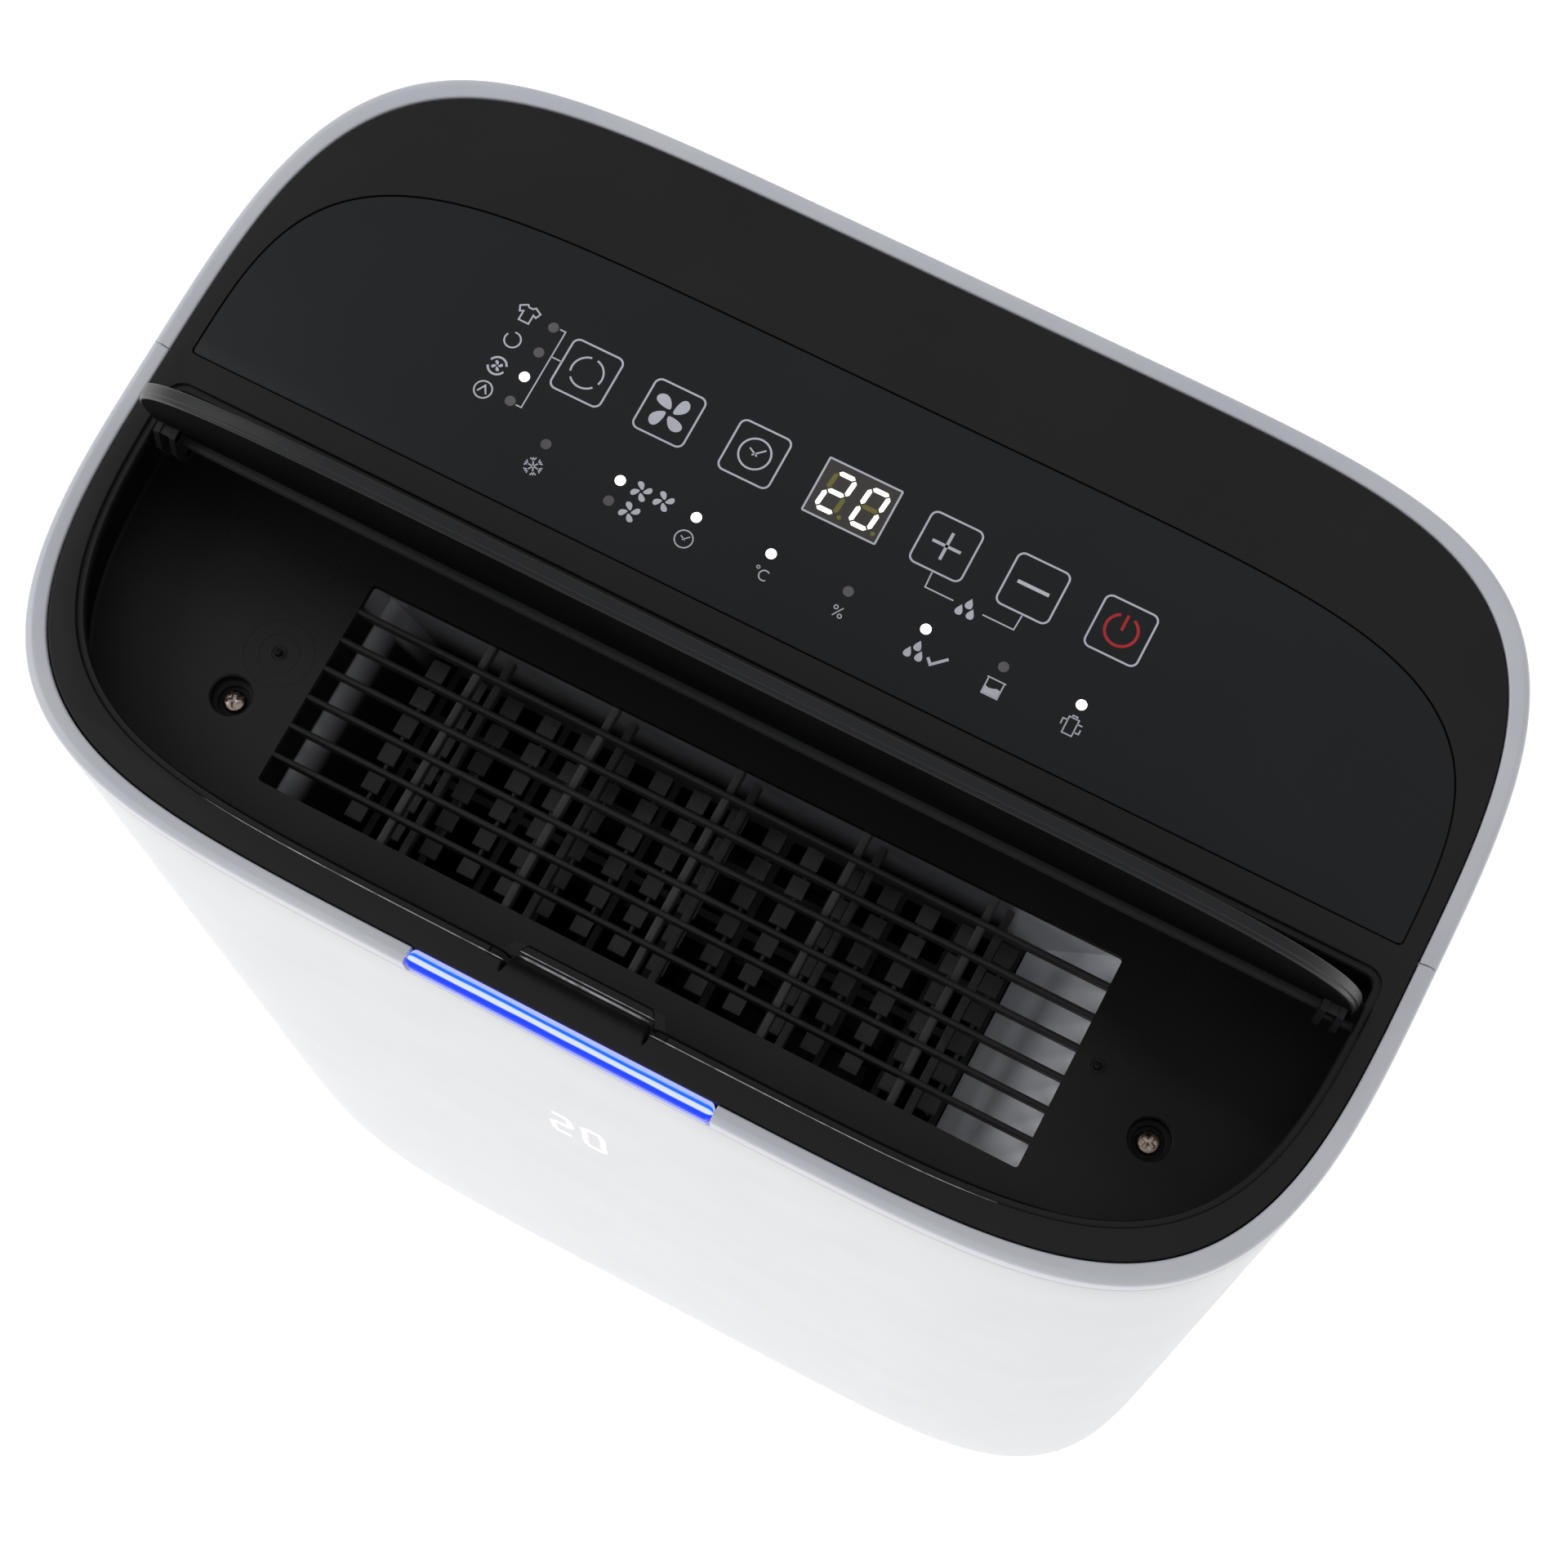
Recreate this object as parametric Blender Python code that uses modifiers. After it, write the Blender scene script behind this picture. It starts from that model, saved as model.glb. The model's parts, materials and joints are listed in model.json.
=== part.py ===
"""Tower dehumidifier with a top outlet flap, built as separate parts. Metres, +Z up, front faces -Y."""
import math

import bmesh
import bpy
from mathutils import Matrix, Vector

# Body
BODY_WIDTH = 0.350
BODY_DEPTH = 0.220
BODY_HEIGHT = 0.510
DEPTH_SHARE = BODY_DEPTH / 0.220
SIDE_POWER = 6.07
FRONT_POWER = 3.45
BACK_POWER = 3.34
OUTLINE_STEPS = 56
SHELL_WALL = 0.0025
TUCK_DEPTH = 0.008
TUCK_HEIGHT = 0.150
TUCK_POWER = 3.5
FACE_GAP = 0.0003
SLIDE_GAP = 0.0004

# Feet and base
FOOT_HEIGHT = 0.008
FOOT_RADIUS = 0.014
FOOT_STUD_RADIUS = 0.004
FOOT_INSET_X = 0.050
FOOT_INSET_Y = 0.040
BASE_THICKNESS = 0.003
BASE_LIP_HEIGHT = 0.016
BASE_WALL = 0.002

# Top ring, light bar and deck
RIM_WIDTH = 0.0045
RIM_HEIGHT = 0.008
LIGHT_BAR_LENGTH = 0.0812
LIGHT_BAR_SEAT = 0.001
DECK_THICKNESS = 0.0035
DECK_DROP = 0.001

# Outlet
OUTLET_SIDE_LEDGE = 0.0070
OUTLET_FRONT_LEDGE = 0.0093
OUTLET_REAR_Y = -0.0078 * DEPTH_SHARE
OUTLET_TAB_WIDTH = 0.0385
OUTLET_TAB_DEPTH = 0.0024
OUTLET_TAB_THICKNESS = 0.0024
OUTLET_TAB_SETBACK = 0.0033
TRAY_DEPTH = 0.027
TRAY_FLOOR = 0.0025
TRAY_WALL = 0.0018
TRAY_UNDERCUT = 0.0039
TRAY_REAR_Y = -0.0065 * DEPTH_SHARE
GRILLE_LENGTH = 0.210
GRILLE_WIDTH = 0.058 * DEPTH_SHARE
GRILLE_CENTRE_X = 0.003
GRILLE_CENTRE_Y = -0.053 * DEPTH_SHARE
GRILLE_ROWS = 7
GRILLE_COLUMNS = 6
GRILLE_BAR = 0.0016
SCREW_BESIDE_GRILLE = (0.017, 0.025)
OUTLET_SCREW_PLACES = {
    "left": (GRILLE_CENTRE_X - GRILLE_LENGTH / 2 - SCREW_BESIDE_GRILLE[0], -0.066 * DEPTH_SHARE),
    "right": (GRILLE_CENTRE_X + GRILLE_LENGTH / 2 + SCREW_BESIDE_GRILLE[1], -0.061 * DEPTH_SHARE)}
SCREW_WELL_RADIUS = 0.00525
SCREW_WELL_DEPTH = 0.005
SCREW_HEAD_RADIUS = 0.0031
SCREW_HEAD_HEIGHT = 0.0020
SCREW_SHANK_RADIUS = 0.0016
SCREW_LENGTH = 0.014
BOSS_WALL = 0.0018

# Outlet flap
FLAP_THICKNESS = 0.0038
FLAP_SIDE_CLEARANCE = 0.0008
FLAP_FRONT_CLEARANCE = 0.0012
FLAP_REAR_CLEARANCE = 0.0022
FLAP_SINK = 0.0002
FLAP_OPEN_ANGLE = math.radians(79.5)
FLAP_AXIS_DROP = 0.006
FLAP_AXIS_SETBACK = 0.0117
FLAP_ARM_WIDTH = 0.006
FLAP_ARM_INSET = 0.0025
FLAP_ARM_RADIUS = 0.0033
FLAP_ARM_REACH = 0.013
FLAP_PIN_RADIUS = 0.0015
FLAP_PIN_CLEARANCE = 0.0004
FLAP_RIB_HEIGHT = 0.0018
FLAP_RIB_WIDTH = 0.0016
FLAP_RIB_SETBACK = 0.014
FLAP_TAB_GAP = 0.0004

# Control panel
PANEL_HALF_WIDTH = 0.165
PANEL_DEPTH = 0.0702 * DEPTH_SHARE
PANEL_FRONT_Y = 0.002 * DEPTH_SHARE
PANEL_THICKNESS = 0.0012
PANEL_GAP = 0.00035
PANEL_SIDE_POWER = 6.0
PANEL_BACK_POWER = 3.4
BOARD_LOW = (-0.104, 0.006 * DEPTH_SHARE)
BOARD_HIGH = (0.084, 0.060 * DEPTH_SHARE)
BOARD_THICKNESS = 0.0016
BOARD_DROP = 0.004
BOARD_WINDOW_MARGIN = 0.003
DISPLAY_LOW = (-0.0105, 0.0342 * DEPTH_SHARE)
DISPLAY_HIGH = (0.0095, 0.0504 * DEPTH_SHARE)
FRONT_DISPLAY_LOW = (-0.023, 0.362)
FRONT_DISPLAY_HIGH = (0.013, 0.406)
FRONT_DISPLAY_BLOCK = 0.0035
FRONT_DISPLAY_EDGE = 0.005
FRONT_DISPLAY_GAP = 0.002

# Air path
FAN_AXIS_Z = 0.355
WHEEL_RADIUS = 0.068
WHEEL_INNER_RADIUS = WHEEL_RADIUS - 0.014
WHEEL_FRONT_Y = -0.078 * DEPTH_SHARE
WHEEL_REAR_Y = -0.026 * DEPTH_SHARE
WHEEL_DISC_Y = -0.056 * DEPTH_SHARE
WHEEL_DISC = 0.002
WHEEL_BLADES = 22
WHEEL_BLADE = 0.0014
WHEEL_HUB_RADIUS = 0.008
HOUSING_CLEARANCE = 0.016
HOUSING_WALL = 0.002
HOUSING_FRONT_Y = -0.084 * DEPTH_SHARE
HOUSING_REAR_Y = -0.020 * DEPTH_SHARE
HOUSING_TOP_Z = FAN_AXIS_Z + WHEEL_RADIUS + 0.017
HOUSING_LEG_X = 0.047
HOUSING_LEG = 0.006
MOTOR_RADIUS = 0.036
MOTOR_FRONT_Y = -0.098 * DEPTH_SHARE
MOTOR_REAR_Y = -0.0605 * DEPTH_SHARE
SHAFT_RADIUS = 0.003
GUARD_HEIGHT = 0.008
GUARD_COLUMNS = 10
GUARD_ROWS = 4
GUARD_BAR = 0.002
DUCT_WALL = 0.002
DUCT_OVERLAP = 0.002

# Coils and water
COIL_HALF_WIDTH = 0.105
COIL_TOP_Z = 0.455
COIL_END_PLATE = 0.0015
EVAPORATOR_Y = (0.062 * DEPTH_SHARE, 0.092 * DEPTH_SHARE)
CONDENSER_Y = (0.030 * DEPTH_SHARE, 0.058 * DEPTH_SHARE)
DRIP_MARGIN = 0.005
DRIP_HEIGHT = 0.013
DRIP_WALL = 0.002
SPOUT_RADIUS = 0.005
SPOUT_BORE = 0.003
SPOUT_Y = 0.060 * DEPTH_SHARE
SHELF_Z = 0.232
SHELF_THICKNESS = 0.0015
SHELF_HOLE_CLEARANCE = 0.003

# Rear openings
INTAKE_HALF_WIDTH = 0.118
INTAKE_Z = (0.258, 0.470)
FILTER_FRAME_Y = (BODY_DEPTH / 2 - 0.011, BODY_DEPTH / 2 - 0.0055)
FILTER_FRAME_BORDER = 0.008
FILTER_SLATS = 14
FILTER_COLUMNS = 4
FILTER_BAR = 0.003
FILTER_MESH_THICKNESS = 0.002
FILTER_MESH_GAP = 0.0005
PLUG_RADIUS = 0.007
PLUG_HEAD_RADIUS = 0.0095
PLUG_DEPTH = 0.014
PLUG_HEAD = 0.003
DRAIN_X = 0.126
GLAND_X = -0.126
PORT_Z = 0.242
GLAND_RADIUS = 0.0055

# Water tank
TANK_HALF_WIDTH = 0.138
TANK_FRONT_Y = 0.018 * DEPTH_SHARE
TANK_Z = (0.032, 0.222)
TANK_WALL = 0.0022
TANK_OPENING_GAP = 0.003
TANK_LID = 0.0025
GRIP_HALF_WIDTH = 0.045
GRIP_Z = (0.176, 0.202)
GRIP_DEPTH = 0.014
FLOAT_X = (TANK_HALF_WIDTH - 0.050, TANK_HALF_WIDTH - 0.018)
FLOAT_Y = (0.044 * DEPTH_SHARE, 0.084 * DEPTH_SHARE)
FLOAT_Z = (0.188, 0.204)
FLOAT_AXIS_Y = 0.036 * DEPTH_SHARE
FLOAT_AXIS_Z = 0.208
FLOAT_PIN_RADIUS = 0.0016
EAR_THICKNESS = 0.003
RAIL_X = TANK_HALF_WIDTH - 0.033
RAIL_WIDTH = 0.010

# Lower bay
PARTITION_Y = 0.012 * DEPTH_SHARE
PARTITION_THICKNESS = 0.0015
PARTITION_HALF_WIDTH = 0.150
COMPRESSOR_PLACE = (-0.062, -0.042 * DEPTH_SHARE)
COMPRESSOR_RADIUS = 0.047 * DEPTH_SHARE
COMPRESSOR_Z = (0.026, 0.190)
COMPRESSOR_PLATE_RADIUS = 0.051 * DEPTH_SHARE
COMPRESSOR_PLATE = 0.004
MOUNT_RADIUS = 0.007
MOUNT_CIRCLE = 0.043 * DEPTH_SHARE
BOX_LOW = (0.028, -0.083 * DEPTH_SHARE)
BOX_HIGH = (0.138, -0.012 * DEPTH_SHARE)
BOX_HEIGHT = 0.130
BOX_WALL = 0.0015
CAPACITOR_PLACE = (0.008, -0.035 * DEPTH_SHARE)
CAPACITOR_RADIUS = 0.013
CAPACITOR_HEIGHT = 0.070
PIPE_RADIUS = 0.004
CAPILLARY_RADIUS = 0.0016
DRIER_PLACE = (0.128, 0.044 * DEPTH_SHARE)
DRIER_RADIUS = 0.010
DRIER_Z = (0.300, 0.360)

# Worked out from the sizes above
HALF_X = BODY_WIDTH / 2
HALF_Y = BODY_DEPTH / 2
RIM_BASE_Z = BODY_HEIGHT - RIM_HEIGHT
DECK_HALF_X = HALF_X - RIM_WIDTH
DECK_HALF_Y = HALF_Y - RIM_WIDTH
DECK_TOP_Z = BODY_HEIGHT - DECK_DROP
DECK_LOW_Z = DECK_TOP_Z - DECK_THICKNESS
OUTLET_HALF_X = DECK_HALF_X - OUTLET_SIDE_LEDGE
OUTLET_HALF_Y = DECK_HALF_Y - OUTLET_FRONT_LEDGE
TRAY_HALF_X = OUTLET_HALF_X + TRAY_UNDERCUT
TRAY_HALF_Y = OUTLET_HALF_Y + TRAY_UNDERCUT
TRAY_TOP_Z = DECK_LOW_Z - FACE_GAP
TRAY_FLOOR_Z = BODY_HEIGHT - TRAY_DEPTH
TRAY_LOW_Z = TRAY_FLOOR_Z - TRAY_FLOOR
FLAP_AXIS_Y = OUTLET_REAR_Y - FLAP_AXIS_SETBACK
FLAP_TOP_Z = DECK_TOP_Z - FLAP_SINK
FLAP_AXIS_Z = FLAP_TOP_Z - FLAP_AXIS_DROP
BASE_LOW_Z = FOOT_HEIGHT
BASE_TOP_Z = BASE_LOW_Z + BASE_THICKNESS
BAY_FLOOR_Z = BASE_TOP_Z + FACE_GAP
SHELF_TOP_Z = SHELF_Z + SHELF_THICKNESS
UPPER_FLOOR_Z = SHELF_TOP_Z + FACE_GAP
HOUSING_INNER_RADIUS = WHEEL_RADIUS + HOUSING_CLEARANCE
HOUSING_OUTER_RADIUS = HOUSING_INNER_RADIUS + HOUSING_WALL
DUCT_LOW_Z = HOUSING_TOP_Z + FACE_GAP
DUCT_HIGH_Z = TRAY_LOW_Z - FACE_GAP

for old in list(bpy.data.objects):
    bpy.data.objects.remove(old, do_unlink=True)
PARTS = bpy.data.collections.new("dehumidifier")
CUTTERS = bpy.data.collections.new("cutters")
bpy.context.scene.collection.children.link(PARTS)
bpy.context.scene.collection.children.link(CUTTERS)


# Small helpers
def make_material(name, colour, roughness, metallic=0.0):
    material = bpy.data.materials.new(name)
    material.use_nodes = True
    shader = material.node_tree.nodes["Principled BSDF"]
    shader.inputs["Base Color"].default_value = (*colour, 1.0)
    shader.inputs["Roughness"].default_value = roughness
    shader.inputs["Metallic"].default_value = metallic
    return material


WHITE = make_material("white_plastic", (0.80, 0.80, 0.81), 0.32)
GREY = make_material("rim_grey", (0.55, 0.56, 0.58), 0.38)
BLACK = make_material("black_plastic", (0.018, 0.018, 0.019), 0.42)
SMOKED = make_material("smoked_panel", (0.022, 0.024, 0.027), 0.22)
BLUE = make_material("light_bar_blue", (0.02, 0.10, 0.85), 0.18)
DUCT_GREY = make_material("duct_grey", (0.40, 0.41, 0.43), 0.45)
RUBBER = make_material("rubber", (0.02, 0.02, 0.02), 0.75)
STEEL = make_material("nickel_steel", (0.62, 0.58, 0.54), 0.28, 1.0)
GALVANISED = make_material("galvanised_sheet", (0.55, 0.57, 0.58), 0.40, 1.0)
COPPER = make_material("copper", (0.72, 0.36, 0.20), 0.30, 1.0)
ALUMINIUM = make_material("aluminium_fins", (0.70, 0.71, 0.72), 0.35, 1.0)
ENAMEL = make_material("black_enamel", (0.015, 0.015, 0.016), 0.30)
BOARD_GREEN = make_material("board_green", (0.02, 0.16, 0.08), 0.45)
DISPLAY = make_material("display_white", (0.75, 0.74, 0.66), 0.30)
TANK_CLEAR = make_material("tank_smoke", (0.30, 0.33, 0.36), 0.15)
FOAM = make_material("float_foam", (0.85, 0.84, 0.80), 0.80)
MESH_GREY = make_material("filter_mesh", (0.10, 0.10, 0.11), 0.70)


def add_object(name, mesh, material):
    """Link a finished mesh as a part."""
    piece = bpy.data.objects.new(name, mesh)
    piece.data.materials.append(material)
    PARTS.objects.link(piece)
    return piece


def from_bmesh(name, shape, material):
    """Close a bmesh into a part with its faces pointing out."""
    bmesh.ops.recalc_face_normals(shape, faces=shape.faces[:])
    mesh = bpy.data.meshes.new(name)
    shape.to_mesh(mesh)
    shape.free()
    return add_object(name, mesh, material)


def box(name, low, high, material):
    """A box between two corners."""
    shape = bmesh.new()
    bmesh.ops.create_cube(shape, size=1.0)
    size = Vector(high) - Vector(low)
    middle = (Vector(high) + Vector(low)) / 2
    bmesh.ops.scale(shape, vec=size, verts=shape.verts[:])
    bmesh.ops.translate(shape, vec=middle, verts=shape.verts[:])
    return from_bmesh(name, shape, material)


def rod(name, start, end, radius, material, sides=24):
    """A round bar between two points."""
    start, end = Vector(start), Vector(end)
    shape = bmesh.new()
    length = (end - start).length
    bmesh.ops.create_cone(shape, cap_ends=True, segments=sides, radius1=radius, radius2=radius, depth=length)
    turn = Vector((0, 0, 1)).rotation_difference(end - start).to_matrix().to_4x4()
    bmesh.ops.transform(shape, matrix=Matrix.Translation((start + end) / 2) @ turn, verts=shape.verts[:])
    piece = from_bmesh(name, shape, material)
    smooth(piece)
    return piece


def turned(name, profile, material, place, along_y=False, steps=32):
    """A lathe part: (radius, height) pairs from top to bottom, spun about its own Z, or about Y."""
    mesh = bpy.data.meshes.new(name)
    mesh.from_pydata([(r, 0, h) for r, h in profile], [(i, i + 1) for i in range(len(profile) - 1)], [])
    piece = add_object(name, mesh, material)
    piece.location = place
    if along_y:
        piece.rotation_euler = (math.radians(-90), 0, 0)
    spin = piece.modifiers.new("spin", "SCREW")
    spin.steps = steps
    spin.render_steps = steps
    spin.use_merge_vertices = True
    spin.merge_threshold = 0.00005
    spin.use_smooth_shade = True
    return piece


def loft(name, rings, material):
    """Join rings of equal count with side faces and close both ends."""
    shape = bmesh.new()
    loops = [[shape.verts.new(point) for point in ring] for ring in rings]
    for lower, upper in zip(loops, loops[1:]):
        for i, corner in enumerate(lower):
            j = (i + 1) % len(lower)
            shape.faces.new((corner, lower[j], upper[j], upper[i]))
    shape.faces.new(loops[0])
    shape.faces.new(loops[-1])
    return from_bmesh(name, shape, material)


def prism(name, outline, low, high, material):
    """A flat outline of (x, y) pairs, extruded from low to high."""
    shape = bmesh.new()
    face = shape.faces.new([shape.verts.new((x, y, low)) for x, y in outline])
    made = bmesh.ops.extrude_face_region(shape, geom=[face], use_keep_orig=True)
    lifted = [item for item in made["geom"] if isinstance(item, bmesh.types.BMVert)]
    bmesh.ops.translate(shape, vec=(0, 0, high - low), verts=lifted)
    return from_bmesh(name, shape, material)


def tube(name, points, radius, material):
    """A bent tube through the given points, rounded by a smooth spline."""
    smooth_points = round_route([Vector(point) for point in points])
    curve = bpy.data.curves.new(name + "_route", "CURVE")
    curve.dimensions = "3D"
    curve.bevel_depth = radius
    curve.bevel_resolution = 2
    curve.use_fill_caps = True
    spline = curve.splines.new("POLY")
    spline.points.add(len(smooth_points) - 1)
    for knot, point in zip(spline.points, smooth_points):
        knot.co = (*point, 1.0)
    route = bpy.data.objects.new(name + "_route", curve)
    PARTS.objects.link(route)
    evaluated = route.evaluated_get(bpy.context.evaluated_depsgraph_get())
    mesh = bpy.data.meshes.new_from_object(evaluated)
    bpy.data.objects.remove(route)
    shape = bmesh.new()
    shape.from_mesh(mesh)
    bmesh.ops.remove_doubles(shape, verts=shape.verts[:], dist=0.00005)
    piece = from_bmesh(name, shape, material)
    smooth(piece)
    return piece


def round_route(points):
    """Cut every inner corner of a route into a short arc of four points."""
    route = [points[0]]
    for before, corner, after in zip(points, points[1:], points[2:]):
        reach = 0.4 * min((corner - before).length, (after - corner).length)
        start = corner + (before - corner).normalized() * reach
        end = corner + (after - corner).normalized() * reach
        for step in range(4):
            share = step / 3
            route.append(start.lerp(corner, share).lerp(corner.lerp(end, share), share))
    return route + [points[-1]]


def smooth(piece, angle=35):
    piece.data.shade_smooth()
    piece.data.set_sharp_from_angle(angle=math.radians(angle))


def combine(piece, tool, operation):
    """Apply a live Boolean whose tool is kept aside as a hidden cutter."""
    PARTS.objects.unlink(tool)
    CUTTERS.objects.link(tool)
    tool.hide_render = True
    tool.display_type = "WIRE"
    step = piece.modifiers.new(operation.lower(), "BOOLEAN")
    step.operation = operation
    step.solver = "EXACT"
    step.object = tool


def subtract(piece, *tools):
    for tool in tools:
        combine(piece, tool, "DIFFERENCE")


def unite(piece, *tools):
    for tool in tools:
        combine(piece, tool, "UNION")


def cells(name, low, high, columns, rows, bar, axes, depth):
    """A grid of separate boxes that cuts a grille: axes are the two directions of the grid."""
    across, along = axes
    through = 3 - across - along
    pitch_across = (high[across] - low[across] + bar) / columns
    pitch_along = (high[along] - low[along] + bar) / rows
    shape = bmesh.new()
    for column in range(columns):
        for row in range(rows):
            size = Vector((0, 0, 0))
            size[across] = pitch_across - bar
            size[along] = pitch_along - bar
            size[through] = depth[1] - depth[0]
            middle = Vector((0, 0, 0))
            middle[across] = low[across] + pitch_across * column + size[across] / 2
            middle[along] = low[along] + pitch_along * row + size[along] / 2
            middle[through] = (depth[0] + depth[1]) / 2
            matrix = Matrix.Translation(middle) @ Matrix.Diagonal((*size, 1.0))
            bmesh.ops.create_cube(shape, size=1.0, matrix=matrix)
    return from_bmesh(name, shape, BLACK)


# The body's outline
def outline_point(angle, half_x, half_y, side=SIDE_POWER, front=FRONT_POWER, back=BACK_POWER):
    """A point of the rounded outline |x/a|^p + |y/b|^q = 1, with its own q at the front and the back."""
    across, deep = math.cos(angle), math.sin(angle)
    power = front if deep < 0 else back
    x = math.copysign(abs(across) ** (2 / side), across) * half_x
    y = math.copysign(abs(deep) ** (2 / power), deep) * half_y
    return x, y


def outline_y(x, half_x, half_y, power):
    """How far the outline stands from the middle line at a given x."""
    return half_y * max(0.0, 1 - abs(x / half_x) ** SIDE_POWER) ** (1 / power)


def outline(half_x, half_y, first=0.0, last=360.0):
    """Points round the outline between two angles in degrees, both ends kept on an open stretch."""
    whole = last - first >= 360.0
    count = OUTLINE_STEPS if whole else round(OUTLINE_STEPS * (last - first) / 360.0) + 1
    step = (last - first) / (count if whole else count - 1)
    return [outline_point(math.radians(first + step * i), half_x, half_y) for i in range(count)]


def front_d(half_x, half_y, rear_y):
    """The outline's front part, closed by a straight edge at rear_y."""
    power_share = 1 - abs(rear_y / half_y) ** FRONT_POWER
    edge_x = half_x * power_share ** (1 / SIDE_POWER)
    front = [(x, y) for x, y in outline(half_x, half_y, 180.0, 360.0) if y < rear_y - 0.004]
    return [(-edge_x, rear_y)] + front + [(edge_x, rear_y)]


def tuck(z):
    """How far the front and back have drawn in at a height near the floor."""
    return TUCK_DEPTH * max(0.0, (TUCK_HEIGHT - z) / TUCK_HEIGHT) ** TUCK_POWER


def body_levels(top):
    """Heights of the body's rings: close together where the tuck curves, then one straight wall."""
    shares = (0.0, 0.06, 0.14, 0.26, 0.42, 0.65, 1.0)
    return [FOOT_HEIGHT + (TUCK_HEIGHT - FOOT_HEIGHT) * share for share in shares] + [top]


def body_solid(name, inset):
    """The whole body as a closed solid, inset from the outer surface, as a cutting tool."""
    rings = []
    for z in body_levels(RIM_BASE_Z - FACE_GAP):
        points = outline(HALF_X - inset, HALF_Y - inset - tuck(z))
        rings.append([(x, y, z) for x, y in points])
    return loft(name, rings, WHITE)


def half_shell(name, first, last, seam_side):
    """One half of the housing: an open curved wall, thickened inwards."""
    shape = bmesh.new()
    rows = []
    for z in body_levels(RIM_BASE_Z - FACE_GAP):
        points = outline(HALF_X, HALF_Y - tuck(z), first, last)
        ends = (0, len(points) - 1)
        row = []
        for i, (x, y) in enumerate(points):
            y = seam_side * FACE_GAP / 2 if i in ends else y
            row.append(shape.verts.new((x, y, z)))
        rows.append(row)
    for lower, upper in zip(rows, rows[1:]):
        for i in range(len(lower) - 1):
            shape.faces.new((lower[i], lower[i + 1], upper[i + 1], upper[i]))
    mesh = bpy.data.meshes.new(name)
    shape.to_mesh(mesh)
    shape.free()
    piece = add_object(name, mesh, WHITE)
    smooth(piece)
    wall = piece.modifiers.new("wall", "SOLIDIFY")
    wall.thickness = SHELL_WALL
    wall.offset = -1.0
    wall.use_even_offset = True
    return piece


# Housing
def build_shells():
    half_shell("front_shell", 180.0, 360.0, -1)
    rear = half_shell("rear_shell", 0.0, 180.0, 1)
    inside, outside = HALF_Y * 0.55, HALF_Y * 1.2
    intake = box("intake_cut", (-INTAKE_HALF_WIDTH, inside, INTAKE_Z[0]),
                 (INTAKE_HALF_WIDTH, outside, INTAKE_Z[1]), WHITE)
    bay_x = TANK_HALF_WIDTH + TANK_OPENING_GAP
    bay = box("tank_bay_cut", (-bay_x, inside, TANK_Z[0] - TANK_OPENING_GAP),
              (bay_x, outside, TANK_Z[1] + TANK_LID + TANK_OPENING_GAP), WHITE)
    drain = rod("drain_cut", (DRAIN_X, inside, PORT_Z), (DRAIN_X, outside, PORT_Z),
                PLUG_RADIUS + SLIDE_GAP, WHITE)
    gland = rod("gland_cut", (GLAND_X, inside, PORT_Z), (GLAND_X, outside, PORT_Z),
                GLAND_RADIUS + SLIDE_GAP, WHITE)
    subtract(rear, intake, bay, drain, gland)


def build_base():
    half_x = HALF_X - SHELL_WALL - SLIDE_GAP
    half_y = HALF_Y - SHELL_WALL - SLIDE_GAP - TUCK_DEPTH
    base = prism("base_tray", outline(half_x, half_y), BASE_LOW_Z, BASE_LOW_Z + BASE_LIP_HEIGHT, BLACK)
    well = prism("base_well", outline(half_x - BASE_WALL, half_y - BASE_WALL), BASE_TOP_Z, 0.1, BLACK)
    subtract(base, well)
    for side_x, word_x in ((-1, "left"), (1, "right")):
        for side_y, word_y in ((-1, "front"), (1, "rear")):
            x = side_x * (HALF_X - FOOT_INSET_X)
            y = side_y * (HALF_Y - FOOT_INSET_Y)
            hole = rod("foot_hole", (x, y, 0), (x, y, 0.1), FOOT_STUD_RADIUS + FACE_GAP, BLACK, 16)
            subtract(base, hole)
            pad_top = FOOT_HEIGHT - FACE_GAP
            stud_top = BASE_TOP_Z
            profile = [(0, stud_top), (FOOT_STUD_RADIUS, stud_top), (FOOT_STUD_RADIUS, pad_top),
                       (FOOT_RADIUS, pad_top), (FOOT_RADIUS - 0.001, 0), (0, 0)]
            turned(f"foot_{word_y}_{word_x}", profile, RUBBER, (x, y, 0), steps=20)


def rim_profile(inner, outer, low, crown):
    """Section of the top ring: a rounded crown, as (offset from the deck outline, height) pairs."""
    wide = outer - inner
    high = crown - low
    return [(inner, low), (inner, low + 0.80 * high), (inner + 0.15 * wide, low + 0.94 * high),
            (inner + 0.42 * wide, crown), (inner + 0.72 * wide, low + 0.94 * high),
            (inner + 0.94 * wide, low + 0.74 * high), (outer, low + 0.45 * high), (outer, low)]


def sweep_along(name, path, section, material):
    """Carry a section along the outline: each path point gives the deck point and its outward way."""
    rings = []
    for (x, y), (out_x, out_y) in path:
        rings.append([(x + out_x * offset, y + out_y * offset, z) for offset, z in section])
    piece = loft(name, rings, material)
    smooth(piece, 50)
    return piece


def ring_path(points):
    """Pair each outline point with the unit direction that points outwards there."""
    path = []
    for i, (x, y) in enumerate(points):
        before = points[max(i - 1, 0)]
        after = points[min(i + 1, len(points) - 1)]
        way = Vector((after[1] - before[1], before[0] - after[0])).normalized()
        path.append(((x, y), (way.x, way.y)))
    return path


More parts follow.
